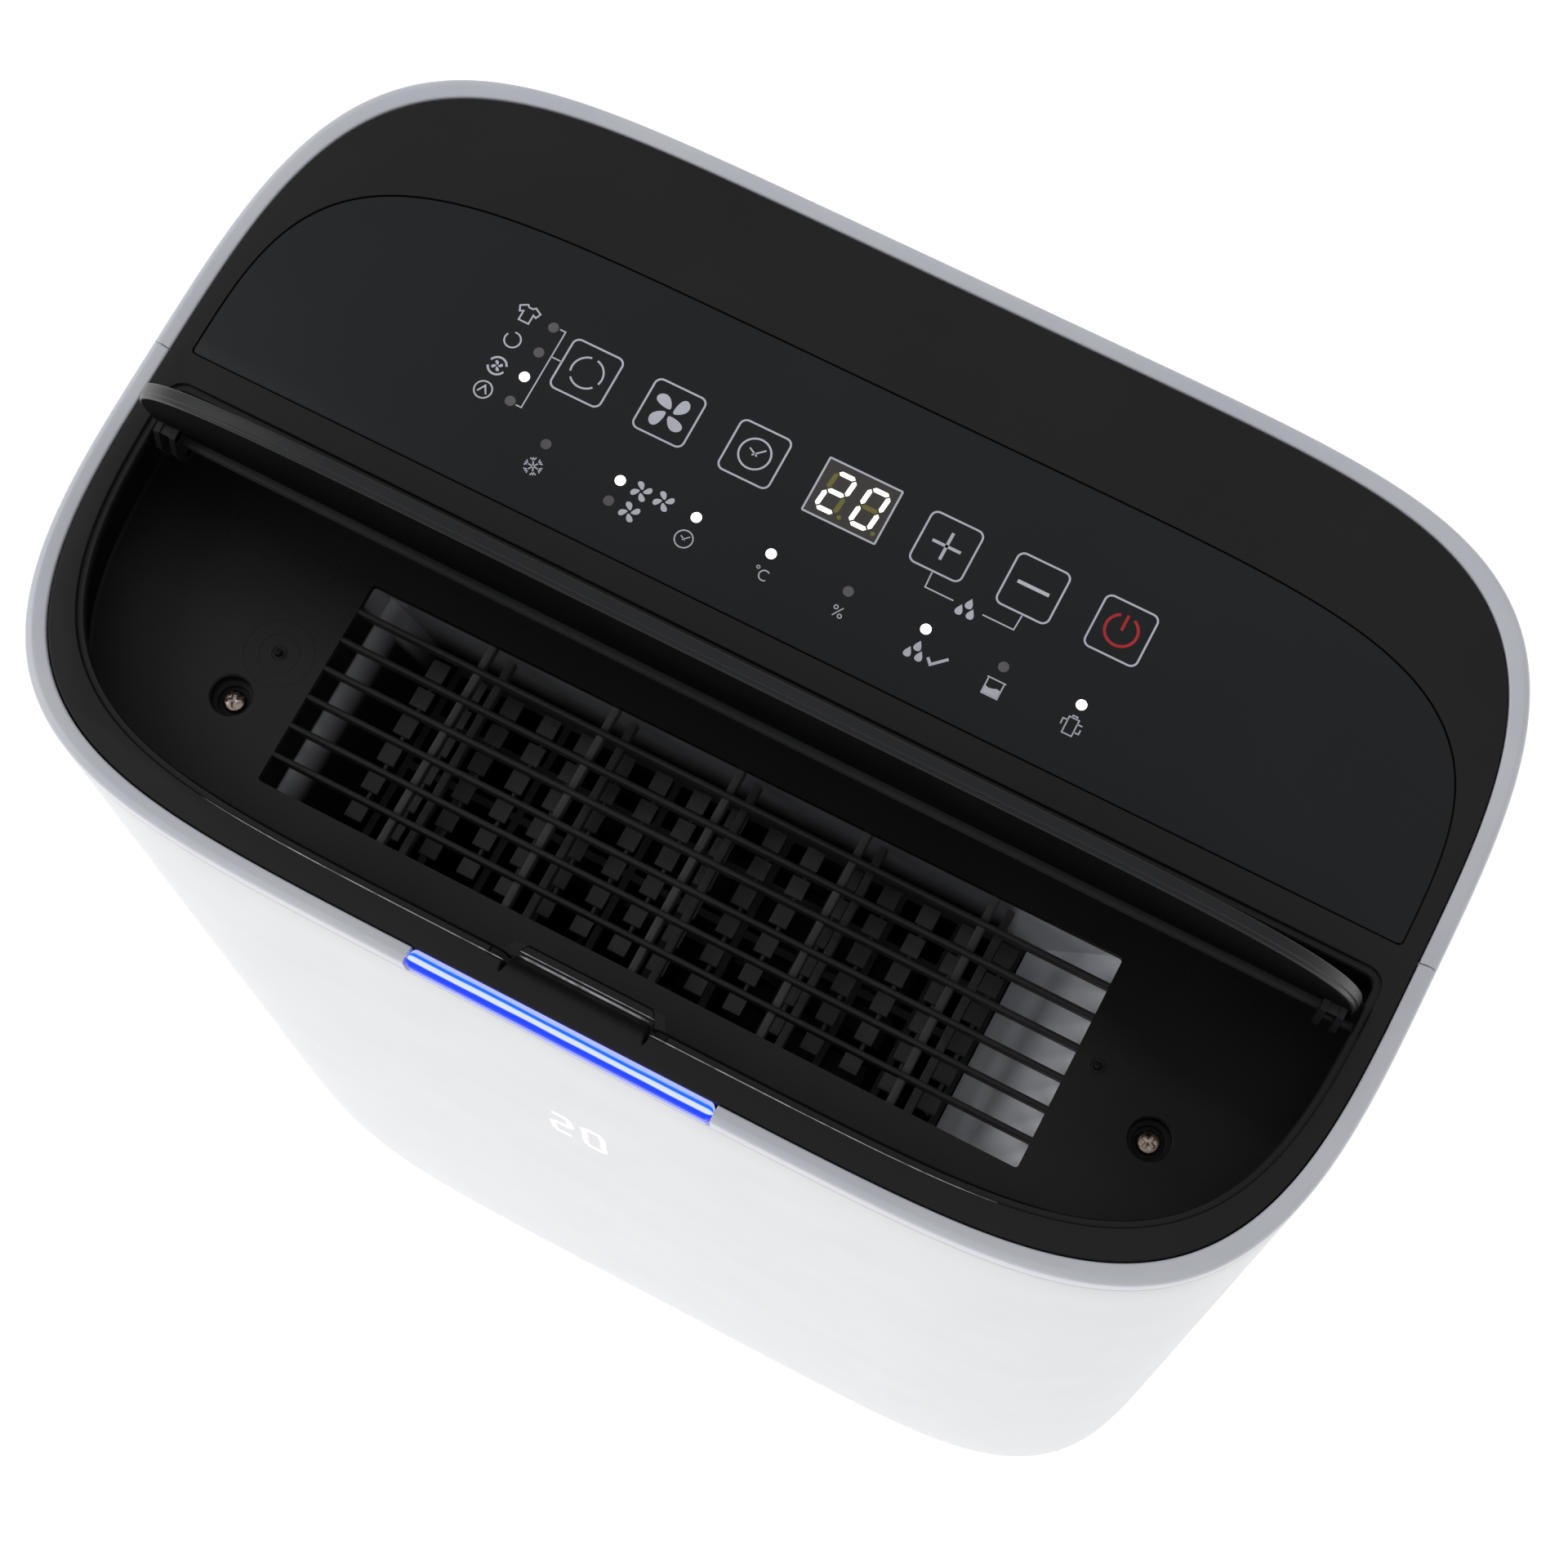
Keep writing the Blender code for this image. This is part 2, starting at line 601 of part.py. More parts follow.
def build_rims():
    section = rim_profile(0.0, RIM_WIDTH, RIM_BASE_Z, BODY_HEIGHT)
    light_half = LIGHT_BAR_LENGTH / 2
    for name, first, last, side in (("top_rim_front", 180.0, 360.0, -1), ("top_rim_rear", 0.0, 180.0, 1)):
        points = outline(DECK_HALF_X, DECK_HALF_Y, first, last)
        points[0] = (points[0][0], side * FACE_GAP / 2)
        points[-1] = (points[-1][0], side * FACE_GAP / 2)
        path = ring_path(points)
        for end in (0, -1):
            path[end] = (path[end][0], (math.copysign(1.0, points[end][0]), 0.0))
        rim = sweep_along(name, path, section, GREY)
        if side < 0:
            seat = box("light_seat", (-light_half - FACE_GAP, -HALF_Y * 1.1, RIM_BASE_Z + LIGHT_BAR_SEAT),
                       (light_half + FACE_GAP, -HALF_Y * 0.9, BODY_HEIGHT * 1.02), GREY)
            subtract(rim, seat)
    steps = 9
    xs = [-light_half + LIGHT_BAR_LENGTH * i / (steps - 1) for i in range(steps)]
    points = [(x, -outline_y(x, DECK_HALF_X, DECK_HALF_Y, FRONT_POWER)) for x in xs]
    bar = rim_profile(0.0, RIM_WIDTH, RIM_BASE_Z + LIGHT_BAR_SEAT + FACE_GAP, BODY_HEIGHT)
    sweep_along("light_bar", ring_path(points), bar, BLUE)


def build_deck():
    half_x, half_y = DECK_HALF_X - FACE_GAP, DECK_HALF_Y - FACE_GAP
    deck = prism("top_deck", outline(half_x, half_y), DECK_LOW_Z, DECK_TOP_Z, BLACK)
    opening = prism("outlet_cut", front_d(OUTLET_HALF_X, OUTLET_HALF_Y, OUTLET_REAR_Y),
                    DECK_LOW_Z - 0.01, DECK_TOP_Z + 0.01, BLACK)
    tab_half = OUTLET_TAB_WIDTH / 2
    tab_top = FLAP_TOP_Z - FLAP_THICKNESS - FLAP_TAB_GAP
    tab_low = tab_top - OUTLET_TAB_THICKNESS
    tab_back = -OUTLET_HALF_Y - OUTLET_TAB_SETBACK
    tab = box("outlet_tab", (-tab_half, tab_back, tab_low),
              (tab_half, -OUTLET_HALF_Y + OUTLET_TAB_DEPTH, tab_top), BLACK)
    web = box("outlet_tab_web", (-tab_half, tab_back, tab_low + 0.0005),
              (tab_half, -OUTLET_HALF_Y - 0.0002, DECK_LOW_Z + 0.001), BLACK)
    pocket = prism("panel_pocket", panel_outline(PANEL_GAP), DECK_TOP_Z - PANEL_THICKNESS - FACE_GAP,
                   DECK_TOP_Z + 0.01, BLACK)
    margin = BOARD_WINDOW_MARGIN
    window = box("board_window", (BOARD_LOW[0] + margin, BOARD_LOW[1] + margin, DECK_LOW_Z - 0.01),
                 (BOARD_HIGH[0] - margin, BOARD_HIGH[1] - margin, DECK_TOP_Z + 0.01), BLACK)
    subtract(deck, opening)
    unite(deck, tab, web)
    subtract(deck, pocket, window)
    prism("control_panel", panel_outline(0.0), DECK_TOP_Z - PANEL_THICKNESS, DECK_TOP_Z - 0.0001, SMOKED)


def panel_outline(grow):
    """The control panel: a straight front edge and a rounded back."""
    half_x, depth = PANEL_HALF_WIDTH + grow, PANEL_DEPTH + grow
    count = OUTLINE_STEPS // 2
    points = []
    for i in range(count + 1):
        angle = math.pi * i / count
        x, y = outline_point(angle, half_x, depth, PANEL_SIDE_POWER, PANEL_BACK_POWER, PANEL_BACK_POWER)
        points.append((x, PANEL_FRONT_Y + max(y, 0.0)))
    return [(half_x, PANEL_FRONT_Y - grow)] + points[1:-1] + [(-half_x, PANEL_FRONT_Y - grow)]


def build_controls():
    top = DECK_LOW_Z - BOARD_DROP
    low = (BOARD_LOW[0], BOARD_LOW[1], top - BOARD_THICKNESS)
    box("control_board", low, (BOARD_HIGH[0], BOARD_HIGH[1], top), BOARD_GREEN)
    panel_low = DECK_TOP_Z - PANEL_THICKNESS
    box("display_module", (*DISPLAY_LOW, top + FACE_GAP), (*DISPLAY_HIGH, panel_low - FACE_GAP), DISPLAY)
    inner_y = -(HALF_Y - SHELL_WALL)
    face_y = inner_y + FRONT_DISPLAY_GAP
    board_y = face_y + FRONT_DISPLAY_BLOCK
    low_x, low_z = FRONT_DISPLAY_LOW
    high_x, high_z = FRONT_DISPLAY_HIGH
    box("front_display_board", (low_x, board_y + FACE_GAP, low_z),
        (high_x, board_y + FACE_GAP + BOARD_THICKNESS, high_z), BOARD_GREEN)
    edge = FRONT_DISPLAY_EDGE
    box("front_display_module", (low_x + edge, face_y, low_z + edge), (high_x - edge, board_y, high_z - edge),
        DISPLAY)


# Outlet
def build_outlet_tray():
    outer = front_d(TRAY_HALF_X + TRAY_WALL, TRAY_HALF_Y + TRAY_WALL, TRAY_REAR_Y + TRAY_WALL)
    inner = front_d(TRAY_HALF_X, TRAY_HALF_Y, TRAY_REAR_Y)
    tray = prism("outlet_tray", outer, TRAY_LOW_Z, TRAY_TOP_Z, BLACK)
    subtract(tray, prism("tray_hollow", inner, TRAY_FLOOR_Z, TRAY_TOP_Z + 0.01, BLACK))
    low = (GRILLE_CENTRE_X - GRILLE_LENGTH / 2, GRILLE_CENTRE_Y - GRILLE_WIDTH / 2, 0)
    high = (GRILLE_CENTRE_X + GRILLE_LENGTH / 2, GRILLE_CENTRE_Y + GRILLE_WIDTH / 2, 0)
    grid = cells("grille_cut", low, high, GRILLE_COLUMNS, GRILLE_ROWS, GRILLE_BAR, (0, 1),
                 (TRAY_LOW_Z - 0.001, TRAY_FLOOR_Z + 0.001))
    subtract(tray, grid)
    well_floor = TRAY_FLOOR_Z - SCREW_WELL_DEPTH
    for side, (x, y) in OUTLET_SCREW_PLACES.items():
        boss = rod("screw_boss", (x, y, well_floor - BOSS_WALL), (x, y, TRAY_FLOOR_Z - 0.0005),
                   SCREW_WELL_RADIUS + BOSS_WALL, BLACK)
        well = rod("screw_well", (x, y, well_floor), (x, y, TRAY_TOP_Z), SCREW_WELL_RADIUS, BLACK)
        hole = rod("screw_hole", (x, y, well_floor - 0.01), (x, y, TRAY_TOP_Z), SCREW_SHANK_RADIUS + FACE_GAP,
                   BLACK, 12)
        unite(tray, boss)
        subtract(tray, well, hole)
        head_low = well_floor + FACE_GAP
        head_top = head_low + SCREW_HEAD_HEIGHT
        profile = [(0, head_top), (SCREW_HEAD_RADIUS * 0.7, head_top - 0.0002),
                   (SCREW_HEAD_RADIUS, head_low + 0.0006), (SCREW_HEAD_RADIUS, head_low),
                   (SCREW_SHANK_RADIUS, head_low), (SCREW_SHANK_RADIUS, head_low - SCREW_LENGTH),
                   (0, head_low - SCREW_LENGTH)]
        turned(f"outlet_screw_{side}", profile, STEEL, (x, y, 0), steps=16)
    bore = rod("hinge_bore", (-HALF_X, FLAP_AXIS_Y, FLAP_AXIS_Z), (HALF_X, FLAP_AXIS_Y, FLAP_AXIS_Z),
               FLAP_PIN_RADIUS + FLAP_PIN_CLEARANCE, BLACK, 16)
    subtract(tray, bore)


def build_flap():
    """The flap is drawn shut, about its own hinge line, then turned open."""
    half_x = OUTLET_HALF_X - FLAP_SIDE_CLEARANCE
    half_y = OUTLET_HALF_Y - FLAP_FRONT_CLEARANCE
    rear_y = OUTLET_REAR_Y - FLAP_REAR_CLEARANCE
    top = FLAP_AXIS_DROP
    under = top - FLAP_THICKNESS
    shape = [(x, y - FLAP_AXIS_Y) for x, y in front_d(half_x, half_y, rear_y)]
    flap = prism("outlet_flap", shape, under, top, BLACK)
    pieces = []
    arm_out = half_x - FLAP_ARM_INSET
    rib_y = rear_y - FLAP_AXIS_Y - FLAP_RIB_SETBACK
    rib_x = arm_out - FLAP_ARM_WIDTH
    pieces.append(box("flap_rib", (-rib_x, rib_y, under - FLAP_RIB_HEIGHT),
                      (rib_x, rib_y + FLAP_RIB_WIDTH, under + 0.001), BLACK))
    for side in (-1, 1):
        inner, outer = side * rib_x, side * arm_out
        pieces.append(box("flap_arm", (min(inner, outer), -FLAP_ARM_REACH, -0.0005),
                          (max(inner, outer), FLAP_ARM_RADIUS, under + 0.001), BLACK))
        pieces.append(rod("flap_knuckle", (inner, 0, 0), (outer, 0, 0), FLAP_ARM_RADIUS, BLACK, 16))
        tip = side * (TRAY_HALF_X + TRAY_WALL + 0.0005)
        pieces.append(rod("flap_pin", (inner + side * 0.001, 0, 0), (tip, 0, 0), FLAP_PIN_RADIUS, BLACK, 12))
    for piece in [flap] + pieces:
        piece.location = (0, FLAP_AXIS_Y, FLAP_AXIS_Z)
        piece.rotation_euler = (-FLAP_OPEN_ANGLE, 0, 0)
    unite(flap, *pieces)


# Air path
def u_profile(radius, top, steps=20):
    """Half a circle below the fan axis with straight sides up to the top, as (x, z) pairs."""
    arc = [math.pi + math.pi * i / steps for i in range(steps + 1)]
    points = [(radius * math.cos(a), FAN_AXIS_Z + radius * math.sin(a)) for a in arc]
    return [(-radius, top)] + points + [(radius, top)]


def upright_prism(name, profile, front_y, rear_y, material):
    """A profile of (x, z) pairs, extruded from front to rear."""
    rings = [[(x, y, z) for x, z in profile] for y in (front_y, rear_y)]
    return loft(name, rings, material)


def build_blower():
    wall = HOUSING_WALL
    housing = upright_prism("blower_housing", u_profile(HOUSING_OUTER_RADIUS, HOUSING_TOP_Z),
                            HOUSING_FRONT_Y, HOUSING_REAR_Y, BLACK)
    for side in (-1, 1):
        x = side * HOUSING_LEG_X
        drop = math.sqrt(HOUSING_OUTER_RADIUS ** 2 - HOUSING_LEG_X ** 2)
        leg_top = FAN_AXIS_Z - drop + wall / 2
        unite(housing, box("housing_leg", (x - HOUSING_LEG / 2, HOUSING_FRONT_Y, UPPER_FLOOR_Z),
                           (x + HOUSING_LEG / 2, HOUSING_REAR_Y, leg_top), BLACK))
    hollow = upright_prism("housing_hollow", u_profile(HOUSING_INNER_RADIUS, HOUSING_TOP_Z + 0.02),
                           HOUSING_FRONT_Y + wall, HOUSING_REAR_Y - wall, BLACK)
    inlet = rod("inlet_cut", (0, HOUSING_REAR_Y - 0.01, FAN_AXIS_Z), (0, HOUSING_REAR_Y + 0.01, FAN_AXIS_Z),
                WHEEL_INNER_RADIUS, BLACK, 32)
    hole = rod("motor_cut", (0, HOUSING_FRONT_Y - 0.01, FAN_AXIS_Z), (0, HOUSING_FRONT_Y + 0.01, FAN_AXIS_Z),
               MOTOR_RADIUS + 2 * FACE_GAP, BLACK, 32)
    subtract(housing, hollow, inlet, hole)
    axis = (0, 0, FAN_AXIS_Z)
    motor = [(0, MOTOR_REAR_Y), (MOTOR_RADIUS * 0.5, MOTOR_REAR_Y),
             (MOTOR_RADIUS * 0.55, MOTOR_REAR_Y - 0.004), (MOTOR_RADIUS * 0.94, MOTOR_REAR_Y - 0.006),
             (MOTOR_RADIUS, MOTOR_REAR_Y - 0.010),
             (MOTOR_RADIUS, MOTOR_FRONT_Y + 0.003), (MOTOR_RADIUS * 0.9, MOTOR_FRONT_Y), (0, MOTOR_FRONT_Y)]
    turned("fan_motor", motor, GALVANISED, axis, along_y=True, steps=32)
    shaft_start = MOTOR_REAR_Y + FACE_GAP
    rod("motor_shaft", (0, shaft_start, FAN_AXIS_Z), (0, WHEEL_DISC_Y + 0.012, FAN_AXIS_Z), SHAFT_RADIUS,
        STEEL, 16)
    build_wheel(axis)


def build_wheel(axis):
    bore = SHAFT_RADIUS + FACE_GAP
    hub_rear, disc_rear = WHEEL_DISC_Y + 0.010, WHEEL_DISC_Y + WHEEL_DISC
    profile = [(bore, hub_rear), (WHEEL_HUB_RADIUS, hub_rear), (WHEEL_HUB_RADIUS, disc_rear),
               (WHEEL_RADIUS, disc_rear), (WHEEL_RADIUS, WHEEL_DISC_Y), (bore, WHEEL_DISC_Y),
               (bore, hub_rear)]
    wheel = turned("blower_wheel", profile, BLACK, axis, along_y=True, steps=32)
    shape = bmesh.new()
    middle_r = (WHEEL_RADIUS + WHEEL_INNER_RADIUS) / 2 - 0.0004
    length = WHEEL_REAR_Y - WHEEL_FRONT_Y
    for i in range(WHEEL_BLADES):
        turn = Matrix.Rotation(2 * math.pi * i / WHEEL_BLADES, 4, "Y")
        lean = Matrix.Rotation(math.radians(38), 4, "Y")
        size = Matrix.Diagonal((WHEEL_RADIUS - WHEEL_INNER_RADIUS - 0.001, length, WHEEL_BLADE, 1.0))
        place = Matrix.Translation((middle_r, (WHEEL_FRONT_Y + WHEEL_REAR_Y) / 2, 0))
        bmesh.ops.create_cube(shape, size=1.0, matrix=turn @ place @ lean @ size)
    blades = from_bmesh("wheel_blades", shape, BLACK)
    blades.location = axis
    ends = []
    for y in (WHEEL_FRONT_Y, WHEEL_REAR_Y - WHEEL_DISC):
        inner = WHEEL_INNER_RADIUS + 0.003
        ring = [(inner, y + WHEEL_DISC), (WHEEL_RADIUS, y + WHEEL_DISC), (WHEEL_RADIUS, y), (inner, y),
                (inner, y + WHEEL_DISC)]
        ends.append(turned("wheel_ring", ring, BLACK, axis, along_y=True, steps=32))
    unite(wheel, blades, *ends)


def build_duct():
    """The outlet duct flares from the blower's mouth to the grille."""
    low_in = HOUSING_INNER_RADIUS
    high_half = GRILLE_LENGTH / 2 + DUCT_OVERLAP
    y_mid = (HOUSING_FRONT_Y + HOUSING_REAR_Y) / 2
    y_half = (HOUSING_REAR_Y - HOUSING_FRONT_Y) / 2 - HOUSING_WALL
    top_y_half = GRILLE_WIDTH / 2 + DUCT_OVERLAP

    def frame_ring(z, centre_x, half_x, centre_y, half_y):
        return [(centre_x + sx * half_x, centre_y + sy * half_y, z) for sx, sy in
                ((-1, -1), (1, -1), (1, 1), (-1, 1))]

    duct = loft("outlet_duct", [
        frame_ring(DUCT_LOW_Z, 0, low_in + DUCT_WALL, y_mid, y_half + DUCT_WALL),
        frame_ring(DUCT_HIGH_Z, GRILLE_CENTRE_X, high_half + DUCT_WALL, GRILLE_CENTRE_Y,
                   top_y_half + DUCT_WALL)], DUCT_GREY)
    run = DUCT_HIGH_Z - DUCT_LOW_Z
    extra = 0.001
    grow = (high_half - low_in) / run * extra
    hollow = loft("duct_hollow", [
        frame_ring(DUCT_LOW_Z - extra, 0, low_in - grow, y_mid, y_half),
        frame_ring(DUCT_HIGH_Z + extra, GRILLE_CENTRE_X, high_half + grow, GRILLE_CENTRE_Y, top_y_half)],
        DUCT_GREY)
    subtract(duct, hollow)
    guard_high = HOUSING_TOP_Z
    guard_low = guard_high - GUARD_HEIGHT
    gap = SLIDE_GAP
    low = (-low_in + gap, HOUSING_FRONT_Y + HOUSING_WALL + gap, guard_low)
    high = (low_in - gap, HOUSING_REAR_Y - HOUSING_WALL - gap, guard_high)
    guard = box("duct_guard", low, high, BLACK)
    edge = Vector((GUARD_BAR, GUARD_BAR, 0))
    grid = cells("guard_cut", Vector(low) + edge, Vector(high) - edge, GUARD_COLUMNS, GUARD_ROWS, GUARD_BAR,
                 (0, 1), (guard_low - 0.001, guard_high + 0.001))
    subtract(guard, grid)


# Coils, pipes and water
def build_coils():
    tray_low = UPPER_FLOOR_Z
    coil_low = tray_low + DRIP_WALL + FACE_GAP
    for name, (front, rear) in (("evaporator", EVAPORATOR_Y), ("condenser", CONDENSER_Y)):
        core = box(name, (-COIL_HALF_WIDTH + 0.001, front + 0.001, coil_low + 0.002),
                   (COIL_HALF_WIDTH - 0.001, rear - 0.001, COIL_TOP_Z - 0.002), ALUMINIUM)
        for side in (-1, 1):
            outer, inner = side * COIL_HALF_WIDTH, side * (COIL_HALF_WIDTH - COIL_END_PLATE)
            unite(core, box(name + "_plate", (min(outer, inner), front, coil_low),
                            (max(outer, inner), rear, COIL_TOP_Z), ALUMINIUM))
    margin = DRIP_MARGIN
    low = (-COIL_HALF_WIDTH - margin, CONDENSER_Y[0] - DRIP_WALL - SLIDE_GAP, tray_low)
    high = (COIL_HALF_WIDTH + margin, EVAPORATOR_Y[1] + DRIP_WALL + SLIDE_GAP, tray_low + DRIP_HEIGHT)
    wall = Vector((DRIP_WALL, DRIP_WALL, DRIP_WALL))
    tray = box("drip_tray", low, high, BLACK)
    well = box("drip_well", Vector(low) + wall, Vector(high) + Vector((-DRIP_WALL, -DRIP_WALL, 0.01)), BLACK)
    spout_low = SHELF_Z - 0.004
    spout = rod("drip_spout", (0, SPOUT_Y, spout_low), (0, SPOUT_Y, tray_low + DRIP_WALL / 2),
                SPOUT_RADIUS, BLACK)
    bore = rod("spout_bore", (0, SPOUT_Y, spout_low - 0.01), (0, SPOUT_Y, tray_low + 0.01), SPOUT_BORE, BLACK)
    subtract(tray, well)
    unite(tray, spout)
    subtract(tray, bore)


def build_pipes():
    comp_x, comp_y = COMPRESSOR_PLACE
    start_z = COMPRESSOR_Z[1] + FACE_GAP
    bend_z = (start_z + SHELF_Z) / 2
    side_x = -COIL_HALF_WIDTH - FACE_GAP
    joint_z = UPPER_FLOOR_Z + 0.035
    routes = {
        "discharge_pipe": (comp_x - 0.015, -0.020, -0.125, sum(CONDENSER_Y) / 2),
        "suction_pipe": (comp_x + 0.015, 0.000, -0.140, sum(EVAPORATOR_Y) / 2)}
    for name, (from_x, pass_y, pass_x, coil_y) in routes.items():
        tube(name, [(from_x, comp_y, start_z), (from_x, comp_y, bend_z), (pass_x, pass_y, bend_z + 0.004),
                    (pass_x, pass_y, joint_z), (pass_x, coil_y, joint_z + 0.004),
                    (side_x, coil_y, joint_z + 0.004)], PIPE_RADIUS, COPPER)
    drier_x, drier_y = DRIER_PLACE
    gap = FACE_GAP
    right_x = COIL_HALF_WIDTH + FACE_GAP
    feed_z = DRIER_Z[1] + 0.035
    tube("liquid_pipe", [(right_x, drier_y, feed_z), (drier_x, drier_y, feed_z),
                         (drier_x, drier_y, DRIER_Z[1] + gap)], CAPILLARY_RADIUS * 1.6, COPPER)
    low_z = DRIER_Z[0] - 0.016
    coil_y = sum(EVAPORATOR_Y) / 2
    tube("capillary_tube", [(drier_x, drier_y, DRIER_Z[0] - gap), (drier_x, drier_y, low_z),
                            (drier_x, coil_y, low_z), (right_x, coil_y, low_z)], CAPILLARY_RADIUS, COPPER)
    shoulder = 0.006
    neck = DRIER_RADIUS * 0.4
    drier = [(0, DRIER_Z[1]), (neck, DRIER_Z[1]), (DRIER_RADIUS, DRIER_Z[1] - shoulder),
             (DRIER_RADIUS, DRIER_Z[0] + shoulder), (neck, DRIER_Z[0]), (0, DRIER_Z[0])]
    turned("filter_drier", drier, COPPER, (drier_x, drier_y, 0), steps=20)
    return [(route[2], route[1]) for route in routes.values()]


def build_shelf(pipe_holes):
    half_x = HALF_X - SHELL_WALL - SLIDE_GAP
    half_y = HALF_Y - SHELL_WALL - SLIDE_GAP
    shelf = prism("chassis_shelf", outline(half_x, half_y), SHELF_Z, SHELF_TOP_Z, GALVANISED)
    for x, y in pipe_holes:
        hole = rod("pipe_hole", (x, y, SHELF_Z - 0.01), (x, y, SHELF_TOP_Z + 0.01),
                   PIPE_RADIUS + SHELF_HOLE_CLEARANCE, BLACK)
        subtract(shelf, hole)
    spout = rod("spout_hole", (0, SPOUT_Y, SHELF_Z - 0.01), (0, SPOUT_Y, SHELF_TOP_Z + 0.01),
                SPOUT_RADIUS + SLIDE_GAP, BLACK)
    subtract(shelf, spout)
    for x, radius in ((DRAIN_X, PLUG_RADIUS), (GLAND_X, GLAND_RADIUS)):
        reach = radius + 0.002
        subtract(shelf, box("port_cut", (x - reach, HALF_Y * 0.7, SHELF_Z - 0.01),
                            (x + reach, HALF_Y * 1.1, SHELF_TOP_Z + 0.01), BLACK))
    box("chassis_partition", (-PARTITION_HALF_WIDTH, PARTITION_Y, BAY_FLOOR_Z),
        (PARTITION_HALF_WIDTH, PARTITION_Y + PARTITION_THICKNESS, SHELF_Z - FACE_GAP), GALVANISED)


def build_filter():
    front, rear = FILTER_FRAME_Y
    low = (-INTAKE_HALF_WIDTH + SLIDE_GAP, front, INTAKE_Z[0] + SLIDE_GAP)
    high = (INTAKE_HALF_WIDTH - SLIDE_GAP, rear, INTAKE_Z[1] - SLIDE_GAP)
    frame = box("filter_frame", low, high, WHITE)
    border = Vector((FILTER_FRAME_BORDER, 0, FILTER_FRAME_BORDER))
    grid = cells("filter_cut", Vector(low) + border, Vector(high) - border, FILTER_COLUMNS, FILTER_SLATS,
                 FILTER_BAR, (0, 2), (front - 0.001, rear + 0.001))
    subtract(frame, grid)
    edge = FILTER_FRAME_BORDER / 2
    mesh_rear = front - FILTER_MESH_GAP
    box("air_filter", (low[0] + edge, mesh_rear - FILTER_MESH_THICKNESS, low[2] + edge),
        (high[0] - edge, mesh_rear, high[2] - edge), MESH_GREY)


def build_ports():
    """The drain plug and the cord gland sit in the rear wall beside the coils."""
    rear_y = outline_y(DRAIN_X, HALF_X, HALF_Y, BACK_POWER)
    head_low = rear_y + 0.001
    plug = [(0, head_low + PLUG_HEAD), (PLUG_HEAD_RADIUS * 0.85, head_low + PLUG_HEAD),
            (PLUG_HEAD_RADIUS, head_low + PLUG_HEAD * 0.6), (PLUG_HEAD_RADIUS, head_low + 0.001),
            (PLUG_RADIUS, head_low + 0.001), (PLUG_RADIUS, head_low - PLUG_DEPTH), (0, head_low - PLUG_DEPTH)]
    turned("drain_plug", plug, RUBBER, (DRAIN_X, 0, PORT_Z), along_y=True, steps=24)
    low = rear_y - 0.012
    sleeve = [(0, rear_y + 0.004), (GLAND_RADIUS * 0.75, rear_y + 0.004), (GLAND_RADIUS, rear_y + 0.001),
              (GLAND_RADIUS, low), (0, low)]
    turned("cord_gland", sleeve, RUBBER, (GLAND_X, 0, PORT_Z), along_y=True, steps=20)


def build_tank():
    half = TANK_HALF_WIDTH
    tank = box("water_tank", (-half, TANK_FRONT_Y, TANK_Z[0]), (half, HALF_Y * 1.2, TANK_Z[1]), TANK_CLEAR)
    combine(tank, body_solid("tank_outside", 0.0), "INTERSECT")
    wall = TANK_WALL
    hollow = box("tank_hollow", (-half + wall, TANK_FRONT_Y + wall, TANK_Z[0] + wall),
                 (half - wall, HALF_Y * 1.2, TANK_Z[1] + 0.01), TANK_CLEAR)
    combine(hollow, body_solid("tank_inside", wall), "INTERSECT")
    grip_front = HALF_Y - GRIP_DEPTH
    keep = box("grip_back", (-GRIP_HALF_WIDTH - wall, grip_front - wall, GRIP_Z[0] - wall),
               (GRIP_HALF_WIDTH + wall, HALF_Y * 1.3, GRIP_Z[1] + wall), TANK_CLEAR)
    subtract(hollow, keep)
    grip = box("grip_cut", (-GRIP_HALF_WIDTH, grip_front, GRIP_Z[0]),
               (GRIP_HALF_WIDTH, HALF_Y * 1.3, GRIP_Z[1]), TANK_CLEAR)
    subtract(tank, hollow, grip)
    lid_low = TANK_Z[1] + FACE_GAP
    lid = box("tank_lid", (-half, TANK_FRONT_Y, lid_low), (half, HALF_Y * 1.2, lid_low + TANK_LID), WHITE)
    combine(lid, body_solid("lid_outside", 0.0), "INTERSECT")
    mouth = box("lid_mouth", (-0.025, SPOUT_Y - 0.018, lid_low - 0.01),
                (0.025, SPOUT_Y + 0.018, lid_low + 0.01), WHITE)
    subtract(lid, mouth)
    build_float(lid_low)
    for side, word in ((-1, "left"), (1, "right")):
        x = side * RAIL_X
        box(f"tank_rail_{word}", (x - RAIL_WIDTH / 2, PARTITION_Y + 0.008, BAY_FLOOR_Z),
            (x + RAIL_WIDTH / 2, HALF_Y - 0.022, TANK_Z[0] - FACE_GAP), BLACK)


